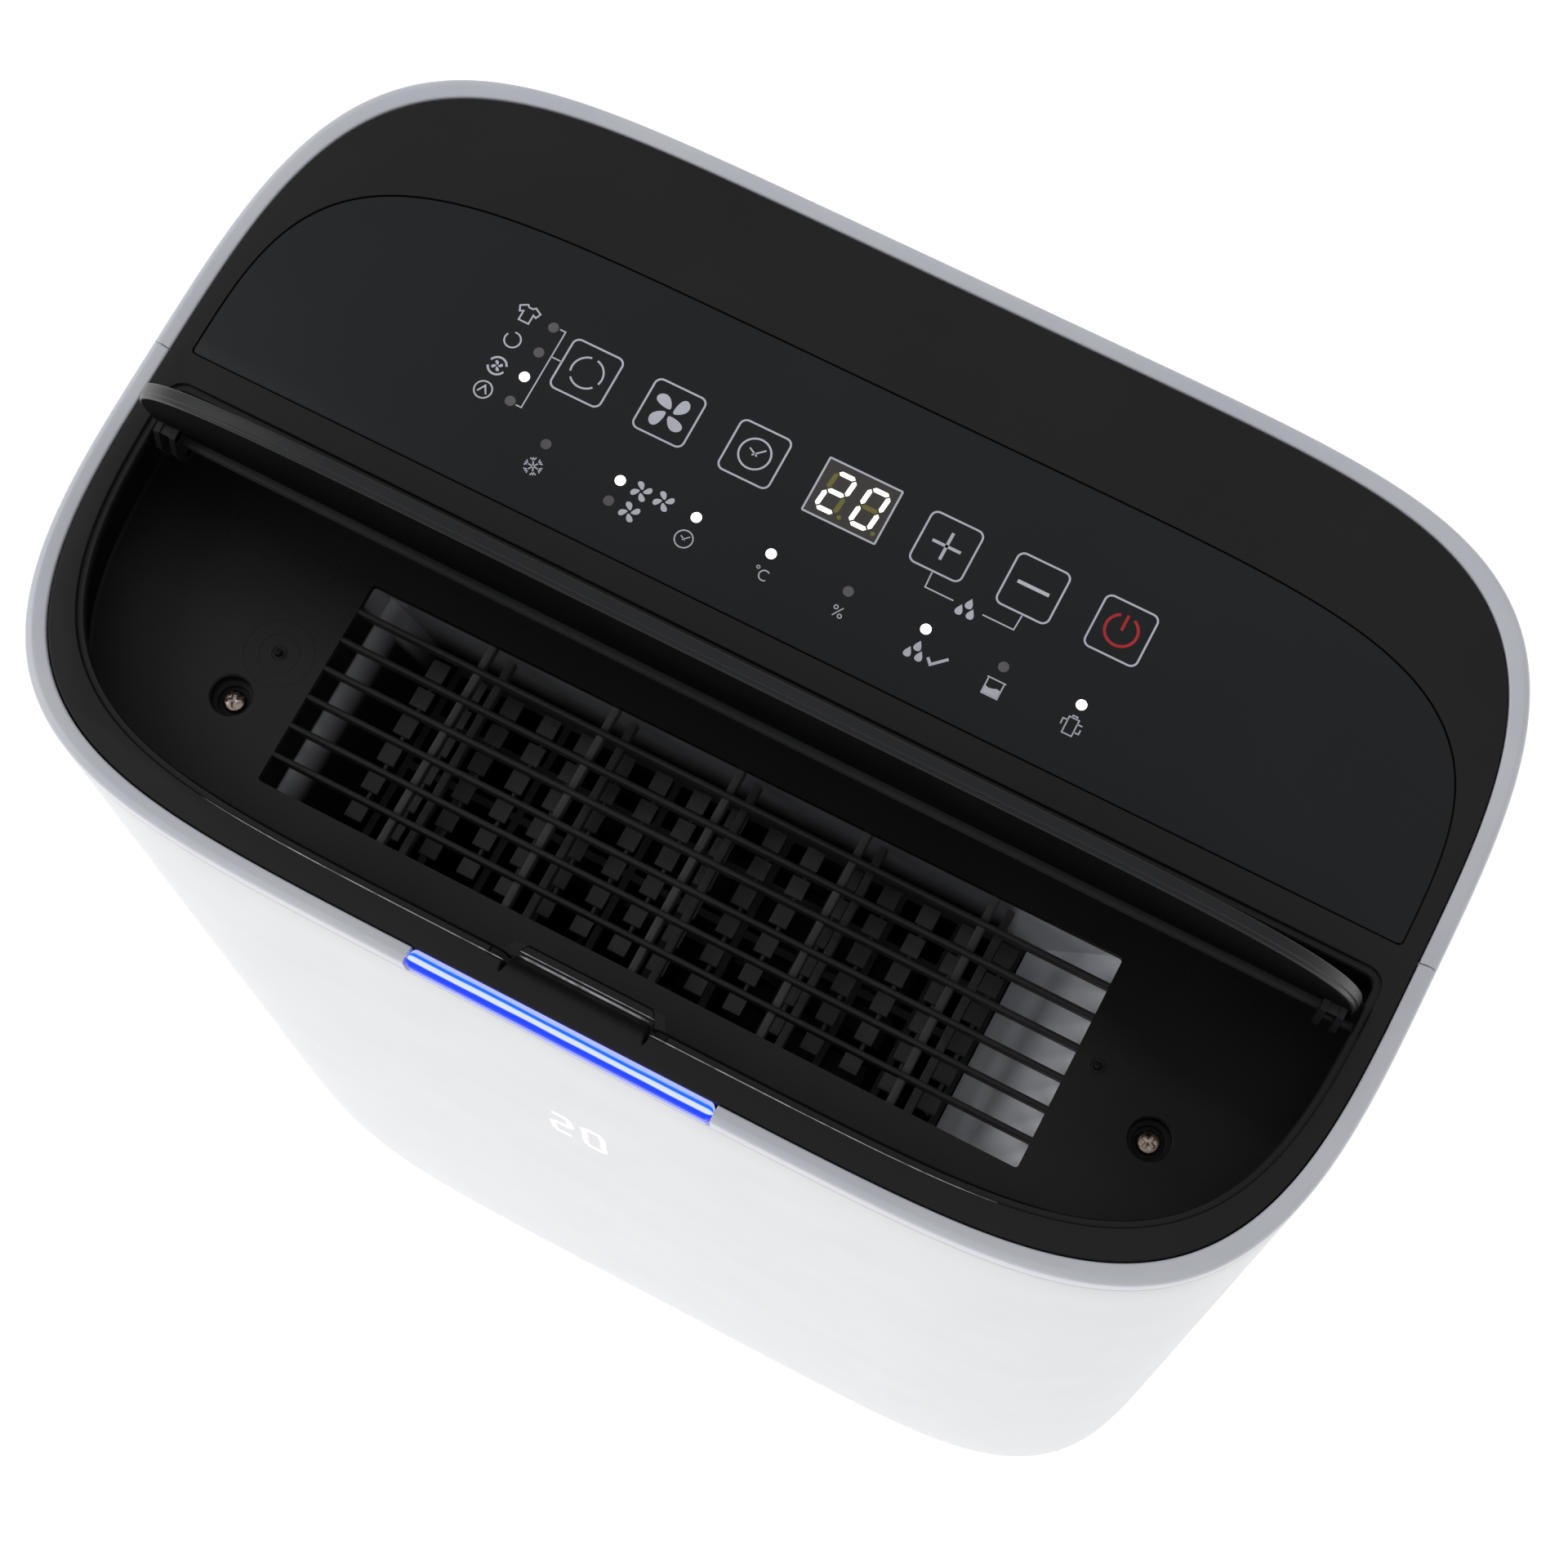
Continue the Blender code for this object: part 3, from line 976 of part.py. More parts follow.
def build_float(lid_low):
    gap = SLIDE_GAP
    x_low, x_high = FLOAT_X
    pivot = (0, FLOAT_AXIS_Y, FLOAT_AXIS_Z)
    body = box("tank_float", (x_low, FLOAT_Y[0] - pivot[1], FLOAT_Z[0] - pivot[2]),
               (x_high, FLOAT_Y[1] - pivot[1], FLOAT_Z[1] - pivot[2]), FOAM)
    arm = box("float_arm", (x_low, -0.003, -0.006), (x_high, FLOAT_Y[0] - pivot[1] + 0.002, -0.001), FOAM)
    barrel = rod("float_barrel", (x_low, 0, 0), (x_high, 0, 0), 0.0032, FOAM, 16)
    pin = rod("float_pin", (x_low - EAR_THICKNESS - gap, 0, 0), (x_high + EAR_THICKNESS + gap, 0, 0),
              FLOAT_PIN_RADIUS, FOAM, 12)
    for piece in (body, arm, barrel, pin):
        piece.location = pivot
    unite(body, arm, barrel, pin)
    top = lid_low - FACE_GAP
    bracket = box("float_bracket", (x_low - EAR_THICKNESS - gap, pivot[1] - 0.008, top - 0.003),
                  (x_high + EAR_THICKNESS + gap, pivot[1] + 0.008, top), WHITE)
    ears = ((x_low - gap, x_low - gap - EAR_THICKNESS), (x_high + gap, x_high + gap + EAR_THICKNESS))
    for inner, outer in ears:
        ear = box("float_ear", (min(inner, outer), pivot[1] - 0.005, pivot[2] - 0.005),
                  (max(inner, outer), pivot[1] + 0.005, top - 0.001), WHITE)
        unite(bracket, ear)
    bore = rod("float_bore", (x_low - 0.02, pivot[1], pivot[2]), (x_high + 0.02, pivot[1], pivot[2]),
               FLOAT_PIN_RADIUS + FACE_GAP, WHITE, 16)
    subtract(bracket, bore)


# Lower bay
def build_lower_bay():
    x, y = COMPRESSOR_PLACE
    low, high = COMPRESSOR_Z
    radius, plate = COMPRESSOR_RADIUS, COMPRESSOR_PLATE
    dome = [(radius * math.sin(math.radians(a)), high - 0.022 * (1 - math.cos(math.radians(a))))
            for a in (0, 20, 40, 60, 75, 90)]
    profile = dome + [(radius, low + plate), (COMPRESSOR_PLATE_RADIUS, low + plate),
                      (COMPRESSOR_PLATE_RADIUS, low), (0, low)]
    turned("compressor", profile, ENAMEL, (x, y, 0), steps=36)
    for number in range(3):
        angle = math.radians(-30 + 120 * number)
        mount_x, mount_y = x + MOUNT_CIRCLE * math.cos(angle), y + MOUNT_CIRCLE * math.sin(angle)
        rod(f"compressor_mount_{number + 1}", (mount_x, mount_y, BAY_FLOOR_Z),
            (mount_x, mount_y, low - FACE_GAP), MOUNT_RADIUS, RUBBER, 16)
    box_top = BAY_FLOOR_Z + BOX_HEIGHT
    case = box("electrical_box", (*BOX_LOW, BAY_FLOOR_Z), (*BOX_HIGH, box_top), GALVANISED)
    room_low = Vector((*BOX_LOW, BAY_FLOOR_Z)) + Vector((BOX_WALL, BOX_WALL, BOX_WALL))
    room_high = (BOX_HIGH[0] - BOX_WALL, BOX_HIGH[1] - BOX_WALL, box_top + 0.01)
    subtract(case, box("box_room", room_low, room_high, BLACK))
    box("electrical_cover", (*BOX_LOW, box_top + FACE_GAP), (*BOX_HIGH, box_top + FACE_GAP + BOX_WALL),
        GALVANISED)
    cap_x, cap_y = CAPACITOR_PLACE
    rod("run_capacitor", (cap_x, cap_y, BAY_FLOOR_Z), (cap_x, cap_y, BAY_FLOOR_Z + CAPACITOR_HEIGHT),
        CAPACITOR_RADIUS, DUCT_GREY)


build_shells()
build_base()
build_rims()
build_deck()
build_controls()
build_outlet_tray()
build_flap()
build_blower()
build_duct()
build_coils()
build_shelf(build_pipes())
build_filter()
build_ports()
build_tank()
build_lower_bay()
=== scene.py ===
import json
import math

import bpy
import numpy as np
from mathutils import Euler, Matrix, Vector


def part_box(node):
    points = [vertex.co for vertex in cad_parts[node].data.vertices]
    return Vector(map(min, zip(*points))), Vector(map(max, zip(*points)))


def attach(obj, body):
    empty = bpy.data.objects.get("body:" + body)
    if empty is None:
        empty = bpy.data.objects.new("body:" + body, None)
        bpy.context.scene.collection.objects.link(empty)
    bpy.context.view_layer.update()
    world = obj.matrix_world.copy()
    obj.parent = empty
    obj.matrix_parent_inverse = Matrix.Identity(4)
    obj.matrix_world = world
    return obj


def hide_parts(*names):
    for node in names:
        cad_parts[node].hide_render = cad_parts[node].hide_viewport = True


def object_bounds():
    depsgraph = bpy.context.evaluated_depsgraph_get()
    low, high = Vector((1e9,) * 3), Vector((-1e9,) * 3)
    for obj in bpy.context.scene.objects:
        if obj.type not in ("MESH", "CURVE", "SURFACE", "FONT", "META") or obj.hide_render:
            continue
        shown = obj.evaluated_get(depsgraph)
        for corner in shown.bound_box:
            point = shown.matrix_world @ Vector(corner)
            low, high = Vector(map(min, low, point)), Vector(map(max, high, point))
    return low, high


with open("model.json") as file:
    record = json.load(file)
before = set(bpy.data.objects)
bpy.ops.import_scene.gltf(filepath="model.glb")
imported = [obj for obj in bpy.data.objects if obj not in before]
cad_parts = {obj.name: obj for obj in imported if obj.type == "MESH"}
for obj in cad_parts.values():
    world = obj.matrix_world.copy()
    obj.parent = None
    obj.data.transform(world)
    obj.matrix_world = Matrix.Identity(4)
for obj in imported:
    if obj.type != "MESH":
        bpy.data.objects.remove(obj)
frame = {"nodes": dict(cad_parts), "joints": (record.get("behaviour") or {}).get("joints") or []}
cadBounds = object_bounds()
print("frame loaded")

mm = 0.001
low, high = cadBounds
halfWidth = (high[0] - low[0]) / 2
halfDepth = -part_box("front_shell")[0][1]
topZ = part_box("top_rim_front")[1][2]
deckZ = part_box("top_deck")[1][2]
hingeY, hingeZ = frame["joints"][0]["pos_m"][1:]
openAngle = math.radians(79.5)

outlineShape = {"sidePower": 6.07, "frontPower": 3.45, "backPower": 3.34}
tuckShape = {"depth": 0.008, "height": 0.150, "power": 3.5}


def solidGrid(points, ring=False):
    # rows of equal closed loops joined by quads; the rows close into a ring, or a flat face closes each end
    rows, columns = points.shape[:2]
    index = np.arange(rows * columns).reshape(rows, columns)
    near = index if ring else index[:-1]
    far = np.roll(index, -1, axis=0) if ring else index[1:]
    quads = np.stack([near, np.roll(near, -1, axis=1), np.roll(far, -1, axis=1), far], axis=-1).reshape(-1, 4)
    flat = points.reshape(-1, 3)
    a, b, c, d = (flat[quads[:, k]] for k in range(4))
    volume = np.einsum("ij,ij->", a, np.cross(b, c)) + np.einsum("ij,ij->", a, np.cross(c, d))
    caps = []
    if not ring:
        caps = [index[0][::-1], index[-1]]
        for cap in caps:
            fan = flat[cap]
            volume += np.einsum("ij,ij->", np.broadcast_to(fan[0], fan[1:-1].shape),
                                np.cross(fan[1:-1], fan[2:]))
    if volume < 0:
        quads = quads[:, ::-1]
        caps = [cap[::-1] for cap in caps]
    return flat, quads.tolist() + [cap.tolist() for cap in caps]


def makeMesh(name, solids):
    # joins (points, faces) pairs into one mesh
    points, faces, start = [], [], 0
    for flat, quads in solids:
        points.append(flat)
        faces += [[corner + start for corner in face] for face in quads]
        start += len(flat)
    mesh = bpy.data.meshes.new(name)
    mesh.from_pydata(np.concatenate(points), [], faces)
    mesh.update()
    return mesh


def smoothMesh(mesh, angle):
    # smooth shading, sharp where faces meet at more than the angle in degrees
    mesh.shade_smooth()
    mesh.set_sharp_from_angle(angle=math.radians(angle))


def addPiece(name, solids, material, body="cabinet", stands=(), angle=35, cuts=(), keep=None):
    # builds one visible piece, cuts it, shades it and hands it to its body
    mesh = makeMesh(name, solids)
    piece = bpy.data.objects.new(name, mesh)
    bpy.context.scene.collection.objects.link(piece)
    steps = [("DIFFERENCE", cut) for cut in cuts]
    if keep is not None:
        steps.insert(0, ("INTERSECT", keep))
    for operation, tools in steps:
        tool = bpy.data.objects.new("tool", makeMesh("tool", tools))
        bpy.context.scene.collection.objects.link(tool)
        step = piece.modifiers.new("cut", "BOOLEAN")
        step.operation, step.solver, step.object = operation, "EXACT", tool
        cutMesh = bpy.data.meshes.new_from_object(piece.evaluated_get(bpy.context.evaluated_depsgraph_get()))
        piece.modifiers.clear()
        piece.data = cutMesh
        bpy.data.objects.remove(tool)
    smoothMesh(piece.data, angle)
    piece.data.materials.clear()
    piece.data.materials.append(material)
    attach(piece, body)
    if stands:
        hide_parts(*stands)
    return piece


def turnedGrid(profile, place, steps=48, axis="z"):
    # lathe: each (radius, height) pair goes round the axis; pairs close into one loop
    profile = np.array(profile, float)
    turn = np.linspace(0, 2 * math.pi, steps, endpoint=False)[:, None]
    x, y = profile[:, 0] * np.cos(turn), profile[:, 0] * np.sin(turn)
    z = np.broadcast_to(profile[:, 1], x.shape)
    points = np.stack([x, y, z] if axis == "z" else [x, z, -y], axis=-1)
    return solidGrid(points + np.array(place), ring=True)


def loftLoops(loops, heights):
    # each (x, y) loop is laid at its height
    rows = [np.column_stack([loop, np.full(len(loop), z)]) for loop, z in zip(loops, heights)]
    return solidGrid(np.array(rows))


def standLoops(loops, depths):
    # each (x, z) loop stands at its y
    rows = [np.column_stack([loop[:, 0], np.full(len(loop), y), loop[:, 1]])
            for loop, y in zip(loops, depths)]
    return solidGrid(np.array(rows))


def roundedLoop(centre, size, radius, arcPoints=6):
    # a rectangle with quarter circles at its corners, as one closed loop
    half = np.array(size) / 2 - radius
    quarter = np.linspace(0, math.pi / 2, arcPoints)
    corners = []
    for k, (sx, sy) in enumerate(((1, 1), (-1, 1), (-1, -1), (1, -1))):
        angle = quarter + k * math.pi / 2
        corners.append(np.column_stack([sx * half[0] + radius * np.cos(angle),
                                        sy * half[1] + radius * np.sin(angle)]))
    return np.concatenate(corners) + np.array(centre)


def blockGrid(lowCorner, highCorner, radius=0.0006, axis=0):
    # a bar along one axis whose section is a rounded rectangle
    lowCorner, highCorner = np.array(lowCorner, float), np.array(highCorner, float)
    others = [k for k in range(3) if k != axis]
    loop = roundedLoop((lowCorner + highCorner)[others] / 2, (highCorner - lowCorner)[others], radius, 4)
    rows = np.zeros((2, len(loop), 3))
    rows[:, :, others] = loop
    rows[0, :, axis], rows[1, :, axis] = lowCorner[axis], highCorner[axis]
    return solidGrid(rows)


def tuckAt(z):
    # tuck = depth * ((height - z) / height) ^ power below that height
    share = np.clip((tuckShape["height"] - z) / tuckShape["height"], 0, None)
    return tuckShape["depth"] * share ** tuckShape["power"]


def outlineAt(angles, halfX, halfY):
    # |x / a| ^ p + |y / b| ^ q = 1, with its own q at the front and the back
    c, s = np.cos(angles), np.sin(angles)
    power = np.where(s < 0, outlineShape["frontPower"], outlineShape["backPower"])
    x = np.sign(c) * np.abs(c) ** (2 / outlineShape["sidePower"]) * halfX
    y = np.sign(s) * np.abs(s) ** (2 / power) * halfY
    return x, y


def evenAngles(first, last, count):
    # angles whose outline points are equally far apart along the outline
    fine = np.radians(np.linspace(first, last, 6001))
    x, y = outlineAt(fine, halfWidth, halfDepth)
    run = np.concatenate([[0], np.cumsum(np.hypot(np.diff(x), np.diff(y)))])
    return np.interp(np.linspace(0, run[-1], count), run, fine)


def outlineY(x, halfX, halfY, power):
    # y = b * (1 - |x / a| ^ sidePower) ^ (1 / power)
    return halfY * (1 - np.abs(x / halfX) ** outlineShape["sidePower"]) ** (1 / power)


def sweptWall(profile, angles, halfX, halfY, endRound=0.0):
    # (inset, z) pairs carried round the outline; near the two ends the inset grows on a quarter circle
    inset, z = np.array(profile, float).T
    x, y = outlineAt(angles[:, None], 1.0, 1.0)
    grow = np.zeros(len(angles))
    if endRound:
        px, py = outlineAt(angles, halfX, halfY)
        run = np.concatenate([[0], np.cumsum(np.hypot(np.diff(px), np.diff(py)))])
        near = np.clip(np.minimum(run, run[-1] - run) / endRound, 0, 1)
        grow = endRound * (1 - np.sqrt(1 - (1 - near) ** 2))
    total = inset + grow[:, None]
    deep = total + tuckAt(z)
    return np.stack([x * (halfX - total), y * (halfY - deep), np.broadcast_to(z, total.shape)], axis=-1)


def offsetLoop(loop, distance):
    # every point moves along the outward normal of its closed loop
    along = np.roll(loop, -1, axis=0) - np.roll(loop, 1, axis=0)
    normal = np.column_stack([along[:, 1], -along[:, 0]])
    return loop + normal / np.linalg.norm(normal, axis=1)[:, None] * distance


def openingLoop(halfX, halfY, rearY, cornerRadius=0.003):
    # the outline's front part, closed by a straight rear edge with rounded corners
    cut = rearY - cornerRadius
    power = outlineShape["frontPower"]
    start = math.asin((abs(cut) / halfY) ** (power / 2))
    x, y = outlineAt(evenAngles(180 + math.degrees(start), 360 - math.degrees(start), 420), halfX, halfY)
    turn = np.linspace(0, math.pi / 2, 9)[1:]
    edge = x[-1] - cornerRadius
    right = np.column_stack([edge + cornerRadius * np.cos(turn), cut + cornerRadius * np.sin(turn)])
    left = right[::-1] * np.array([-1, 1])
    return np.concatenate([np.column_stack([x, y]), right, left])


def panelLoop(grow=0.0):
    # straight front edge and a rounded back: |x / a| ^ sidePower + |y / b| ^ backPower = 1
    halfX, depth = panelSet["halfWidth"] + grow, panelSet["depth"] + grow
    turn = np.linspace(0, math.pi, 241)[1:-1]
    c, s = np.cos(turn), np.sin(turn)
    x = np.sign(c) * np.abs(c) ** (2 / panelSet["sidePower"]) * halfX
    y = panelSet["frontY"] + s ** (2 / panelSet["backPower"]) * depth
    front = panelSet["frontY"] - grow
    big = panelSet["corner"]
    small = 0.00035
    corner = np.array([[halfX - big, front], [halfX - small, front + small], [halfX, front + big]])
    return np.concatenate([corner, np.column_stack([x, y]), corner[::-1] * np.array([-1, 1])])


class Wire:
    # a shader socket used in Python sums: an expression adds its Math nodes
    def __init__(self, paint, socket):
        self.paint = paint
        self.socket = socket

    def sum(self, operation, *values):
        return self.paint.node("ShaderNodeMath", {"operation": operation}, dict(enumerate(values)))

    def __add__(self, other):
        return self.sum("ADD", self, other)

    def __sub__(self, other):
        return self.sum("SUBTRACT", self, other)

    def __mul__(self, other):
        return self.sum("MULTIPLY", self, other)

    def __gt__(self, other):
        return self.sum("GREATER_THAN", self, other)


class Paint:
    # one material: its shader's fixed sockets are set here, its varying ones through feed
    def __init__(self, name, **fixed):
        self.material = bpy.data.materials.new(name)
        self.material.use_nodes = True
        self.tree = self.material.node_tree
        self.shader = self.tree.nodes["Principled BSDF"]
        for socket, value in fixed.items():
            self.feed(self.shader.inputs[socket.replace("_", " ")], value)

    def feed(self, socket, value):
        if isinstance(value, Wire):
            self.tree.links.new(value.socket, socket)
        elif isinstance(value, tuple) and len(value) == 3 and socket.type == "RGBA":
            socket.default_value = (*value, 1.0)
        else:
            socket.default_value = value

    def node(self, kind, settings=None, values=None, output=0):
        made = self.tree.nodes.new(kind)
        for key, value in (settings or {}).items():
            if key == "stops":
                elements = made.color_ramp.elements
                for stop, (where, colour) in enumerate(value):
                    point = elements[stop] if stop < 2 else elements.new(where)
                    point.position = where
                    point.color = (*colour, 1.0)
            else:
                setattr(made, key, value)
        for key, value in (values or {}).items():
            self.feed(made.inputs[key], value)
        return Wire(self, made.outputs[output])

    def place(self):
        return self.node("ShaderNodeTexCoord", output=3)

    def noise(self, scale, detail=3.0, roughness=0.5, stretch=None):
        spot = self.place()
        if stretch:
            spot = self.node("ShaderNodeMapping", {}, {"Vector": spot, "Scale": stretch})
        return self.node("ShaderNodeTexNoise", {},
                         {"Vector": spot, "Scale": scale, "Detail": detail, "Roughness": roughness})

    def axis(self, which):
        return self.node("ShaderNodeSeparateXYZ", {}, {0: self.place()}, output=which)

    def ramp(self, factor, stops):
        return self.node("ShaderNodeValToRGB", {"stops": stops}, {0: factor})

    def span(self, factor, lowIn, highIn, lowOut, highOut):
        return self.node("ShaderNodeMapRange", {}, {0: factor, 1: lowIn, 2: highIn, 3: lowOut, 4: highOut})

    def blend(self, factor, first, second):
        return self.node("ShaderNodeMix", {"data_type": "RGBA"}, {0: factor, 6: first, 7: second}, output=2)

    def bump(self, height, distance):
        return self.node("ShaderNodeBump", {}, {"Height": height, "Distance": distance, "Strength": 1.0})

    def set(self, **varying):
        for socket, value in varying.items():
            self.feed(self.shader.inputs[socket.replace("_", " ")], value)
        return self.material


def tone(red, green, blue):
    # display values from 0 to 255 as linear light
    share = np.array([red, green, blue]) / 255
    return tuple(float(v) for v in np.where(share <= 0.04045, share / 12.92,
                                            ((share + 0.055) / 1.055) ** 2.4))


def plastic(name, dark, light, rough, grain, grainDepth, cloud=14.0, coat=0.0, fixed=None):
    # moulded plastic: soft colour clouds, fine spark texture in the normal, roughness that wanders with both
    paint = Paint(name, Coat_Weight=coat, Coat_Roughness=0.12, **(fixed or {}))
    clouds = paint.noise(cloud, 4.0, 0.55)
    fine = paint.noise(grain, 2.0, 0.6)
    smudge = paint.noise(cloud * 4.3, 3.0, 0.6)
    colour = paint.blend(paint.span(clouds, 0.35, 0.65, 0.0, 1.0), dark, light)
    roughness = paint.span(clouds * 0.6 + smudge * 0.4, 0.35, 0.65, rough[0], rough[1])
    return paint.set(Base_Color=colour, Roughness=roughness, Normal=paint.bump(fine, grainDepth))


def brushed(name, dark, light, rough, stretch, scale=90.0):
    # rolled or brushed metal: streaks along one way, with a few darker clouds
    paint = Paint(name, Metallic=1.0)
    streak = paint.noise(scale, 4.0, 0.6, stretch)
    clouds = paint.noise(30.0, 3.0)
    colour = paint.blend(paint.span(streak * 0.7 + clouds * 0.3, 0.3, 0.7, 0.0, 1.0), dark, light)
    roughness = paint.span(streak, 0.3, 0.7, rough[0], rough[1])
    return paint.set(Base_Color=colour, Roughness=roughness, Normal=paint.bump(streak, 0.00003))


def glowing(name, core, edge, strength, rough=0.3):
    # a lit face whose colour falls a little from core to edge in small clouds
    paint = Paint(name, Roughness=rough, Emission_Strength=strength)
    soft = paint.noise(700.0, 2.0)
    colour = paint.blend(paint.span(soft, 0.35, 0.65, 0.0, 1.0), core, edge)
    return paint.set(Base_Color=colour, Emission_Color=colour)


whiteCase = plastic("white_case", tone(222, 223, 227), tone(230, 231, 234), (0.30, 0.40), 1400.0, 0.00002,
                    9.0, 0.10)
softGloss = {"Specular_IOR_Level": 0.25}
rimGrey = plastic("rim_satin", tone(208, 211, 220), tone(217, 220, 228), (0.28, 0.40), 1700.0, 0.00002,
                  20.0, 0.15)
deckBlack = plastic("deck_black", tone(27, 27, 28), tone(31, 31, 32), (0.42, 0.52), 2100.0, 0.00004, 18.0,
                    0.0, softGloss)
barBlack = plastic("grille_black", tone(38, 38, 39), tone(46, 46, 47), (0.45, 0.58), 1900.0, 0.00004, 22.0,
                   0.0, softGloss)
panelSmoke = plastic("panel_smoke", tone(27, 29, 33), tone(30, 32, 36), (0.30, 0.36), 2600.0, 0.00001, 12.0,
                     0.0, softGloss)
# painted highlight: a light grey for thin lines along the deck's lip and the scoop's edge
lipHighlightGrey = plastic("lip_painted_highlight", tone(120, 120, 124), tone(205, 205, 210), (0.25, 0.40), 2400.0, 0.00002,
                   260.0)
vaneGrey = plastic("vane_grey", tone(48, 48, 49), tone(64, 64, 65), (0.55, 0.70), 1200.0, 0.00010, 60.0)
flapBlack = plastic("flap_black", tone(33, 34, 36), tone(40, 41, 43), (0.34, 0.44), 2000.0, 0.00002, 25.0,
                    0.0, softGloss)
# painted shade: near black with almost no reflection, for the flap's underside sheet and the ledge's shadow
# line
shadeBlack = plastic("painted_shade_black", tone(13, 13, 14), tone(19, 19, 20), (0.85, 0.95), 1500.0, 0.00004, 25.0,
                     0.0, {"Specular_IOR_Level": 0.02})
innerBlack = plastic("inner_black", tone(17, 17, 18), tone(24, 24, 25), (0.50, 0.62), 1500.0, 0.00005, 30.0)
rubberBlack = plastic("rubber_black", tone(26, 26, 26), tone(36, 36, 36), (0.70, 0.85), 1200.0, 0.00008, 40.0)
inkGrey = plastic("ink_grey", tone(206, 210, 222), tone(218, 222, 233), (0.45, 0.60), 3000.0, 0.00001, 60.0)
inkRed = plastic("ink_red", tone(190, 26, 36), tone(206, 34, 46), (0.40, 0.55), 3000.0, 0.00001, 60.0)
lampOff = plastic("lamp_off", tone(94, 94, 98), tone(106, 106, 110), (0.30, 0.45), 2500.0, 0.00001, 80.0)
windowDark = plastic("window_dark", tone(60, 57, 54), tone(72, 68, 65), (0.20, 0.30), 2500.0, 0.00001, 60.0)
segmentOff = plastic("segment_off", tone(120, 115, 52), tone(134, 128, 62), (0.30, 0.40), 2500.0, 0.00001,
                     60.0)
floatFoam = plastic("float_foam", tone(222, 219, 206), tone(238, 235, 224), (0.80, 0.92), 900.0, 0.00020,
                    60.0)
enamelBlack = plastic("enamel_black", tone(20, 20, 21), tone(30, 30, 31), (0.18, 0.34), 500.0, 0.00004,
                      20.0, 0.4)
capacitorGrey = plastic("capacitor_grey", tone(168, 170, 172), tone(186, 188, 190), (0.35, 0.50), 1300.0,
                        0.00002, 40.0)
screwNickel = brushed("screw_nickel", tone(120, 100, 86), tone(224, 210, 200), (0.16, 0.34), (1, 1, 1),
                      1100.0)
galvanised = brushed("galvanised_sheet", tone(150, 154, 158), tone(196, 200, 202), (0.30, 0.48), (1, 1, 1),
                     70.0)
copperTube = brushed("copper_tube", tone(160, 84, 52), tone(214, 136, 96), (0.22, 0.42), (1, 1, 0.3), 160.0)
lampLit = glowing("lamp_lit", (1.0, 1.0, 1.0), (0.94, 0.97, 1.0), 2.2)
segmentLit = glowing("segment_lit", (1.0, 0.98, 0.88), (1.0, 0.95, 0.80), 1.25)
print("plain finishes made")


def recessShadeFinish():
    # the tray's black with painted shade: paler towards its front left, painted near black under the flap and
    # at its right end, and painted dark on the walls above the floor
    paint = Paint("recess_black_painted_shade", Specular_IOR_Level=0.25)
    clouds = paint.noise(22.0, 4.0, 0.55)
    fine = paint.noise(1900.0, 2.0, 0.6)
    # painted shade: the floor darkens towards the rear, where the open flap shades it
    depth = paint.span(paint.axis(1), -0.050, -0.024, 0.0, 1.0)
    # painted shade: the right end darkens, less so near the front
    side = paint.span(paint.axis(0), 0.06, 0.14, 0.0, 0.75)
    side = side * paint.span(paint.axis(1), -0.095, -0.065, 0.0, 1.0)
    # painted shade: the walls darken above the floor
    wall = paint.span(paint.axis(2), traySet["floorZ"] + 0.0004, traySet["floorZ"] + 0.0008, 0.0, 1.0)
    pale = paint.span(depth + side + (clouds - 0.5) * 0.3, 0.0, 1.0, 1.0, 0.0)
    colour = paint.blend(pale, tone(8, 8, 9), tone(40, 40, 41))
    colour = paint.blend(wall, colour, tone(12, 12, 13))
    return paint.set(Base_Color=colour, Roughness=paint.span(clouds, 0.35, 0.65, 0.5, 0.62),
                     Normal=paint.bump(fine, 0.00005))


def ductShadeFinish():
    # pale right wall; left wall black at its top, then a painted lit band, then painted shade; painted shade
    # darkens the rear wall downwards
    paint = Paint("duct_grey", Specular_IOR_Level=0.3)
    clouds = paint.noise(16.0, 4.0, 0.55)
    fine = paint.noise(1500.0, 2.0, 0.6)
    x, y, z = paint.axis(0), paint.axis(1), paint.axis(2)
    right = paint.span(x, 0.076, 0.080, 0.0, 1.0)
    left = paint.span(x, -0.092, -0.096, 0.0, 1.0)
    # painted light and shade: a pale band high on the left wall, dark below it
    leftLitBand = paint.span(z, 0.4720, 0.4712, 0.0, 1.0) * paint.span(z, 0.4620, 0.4700, 0.0, 1.0)
    # painted shade: the rear wall darkens downwards
    rear = paint.span(y, -0.0300, -0.0285, 0.0, 1.0) * paint.span(z, 0.4480, 0.4620, 0.0, 1.0)
    shade = paint.node("ShaderNodeMath", {"operation": "MAXIMUM"}, {0: right, 1: left * leftLitBand * 0.62})
    shade = paint.node("ShaderNodeMath", {"operation": "MAXIMUM"}, {0: shade, 1: rear * 0.34})
    pale = paint.blend(paint.span(clouds, 0.35, 0.65, 0.0, 1.0), tone(226, 228, 236), tone(238, 240, 246))
    colour = paint.blend(shade, tone(20, 20, 21), pale)
    return paint.set(Base_Color=colour, Roughness=paint.span(clouds, 0.3, 0.7, 0.4, 0.52),
                     Normal=paint.bump(fine, 0.00004))


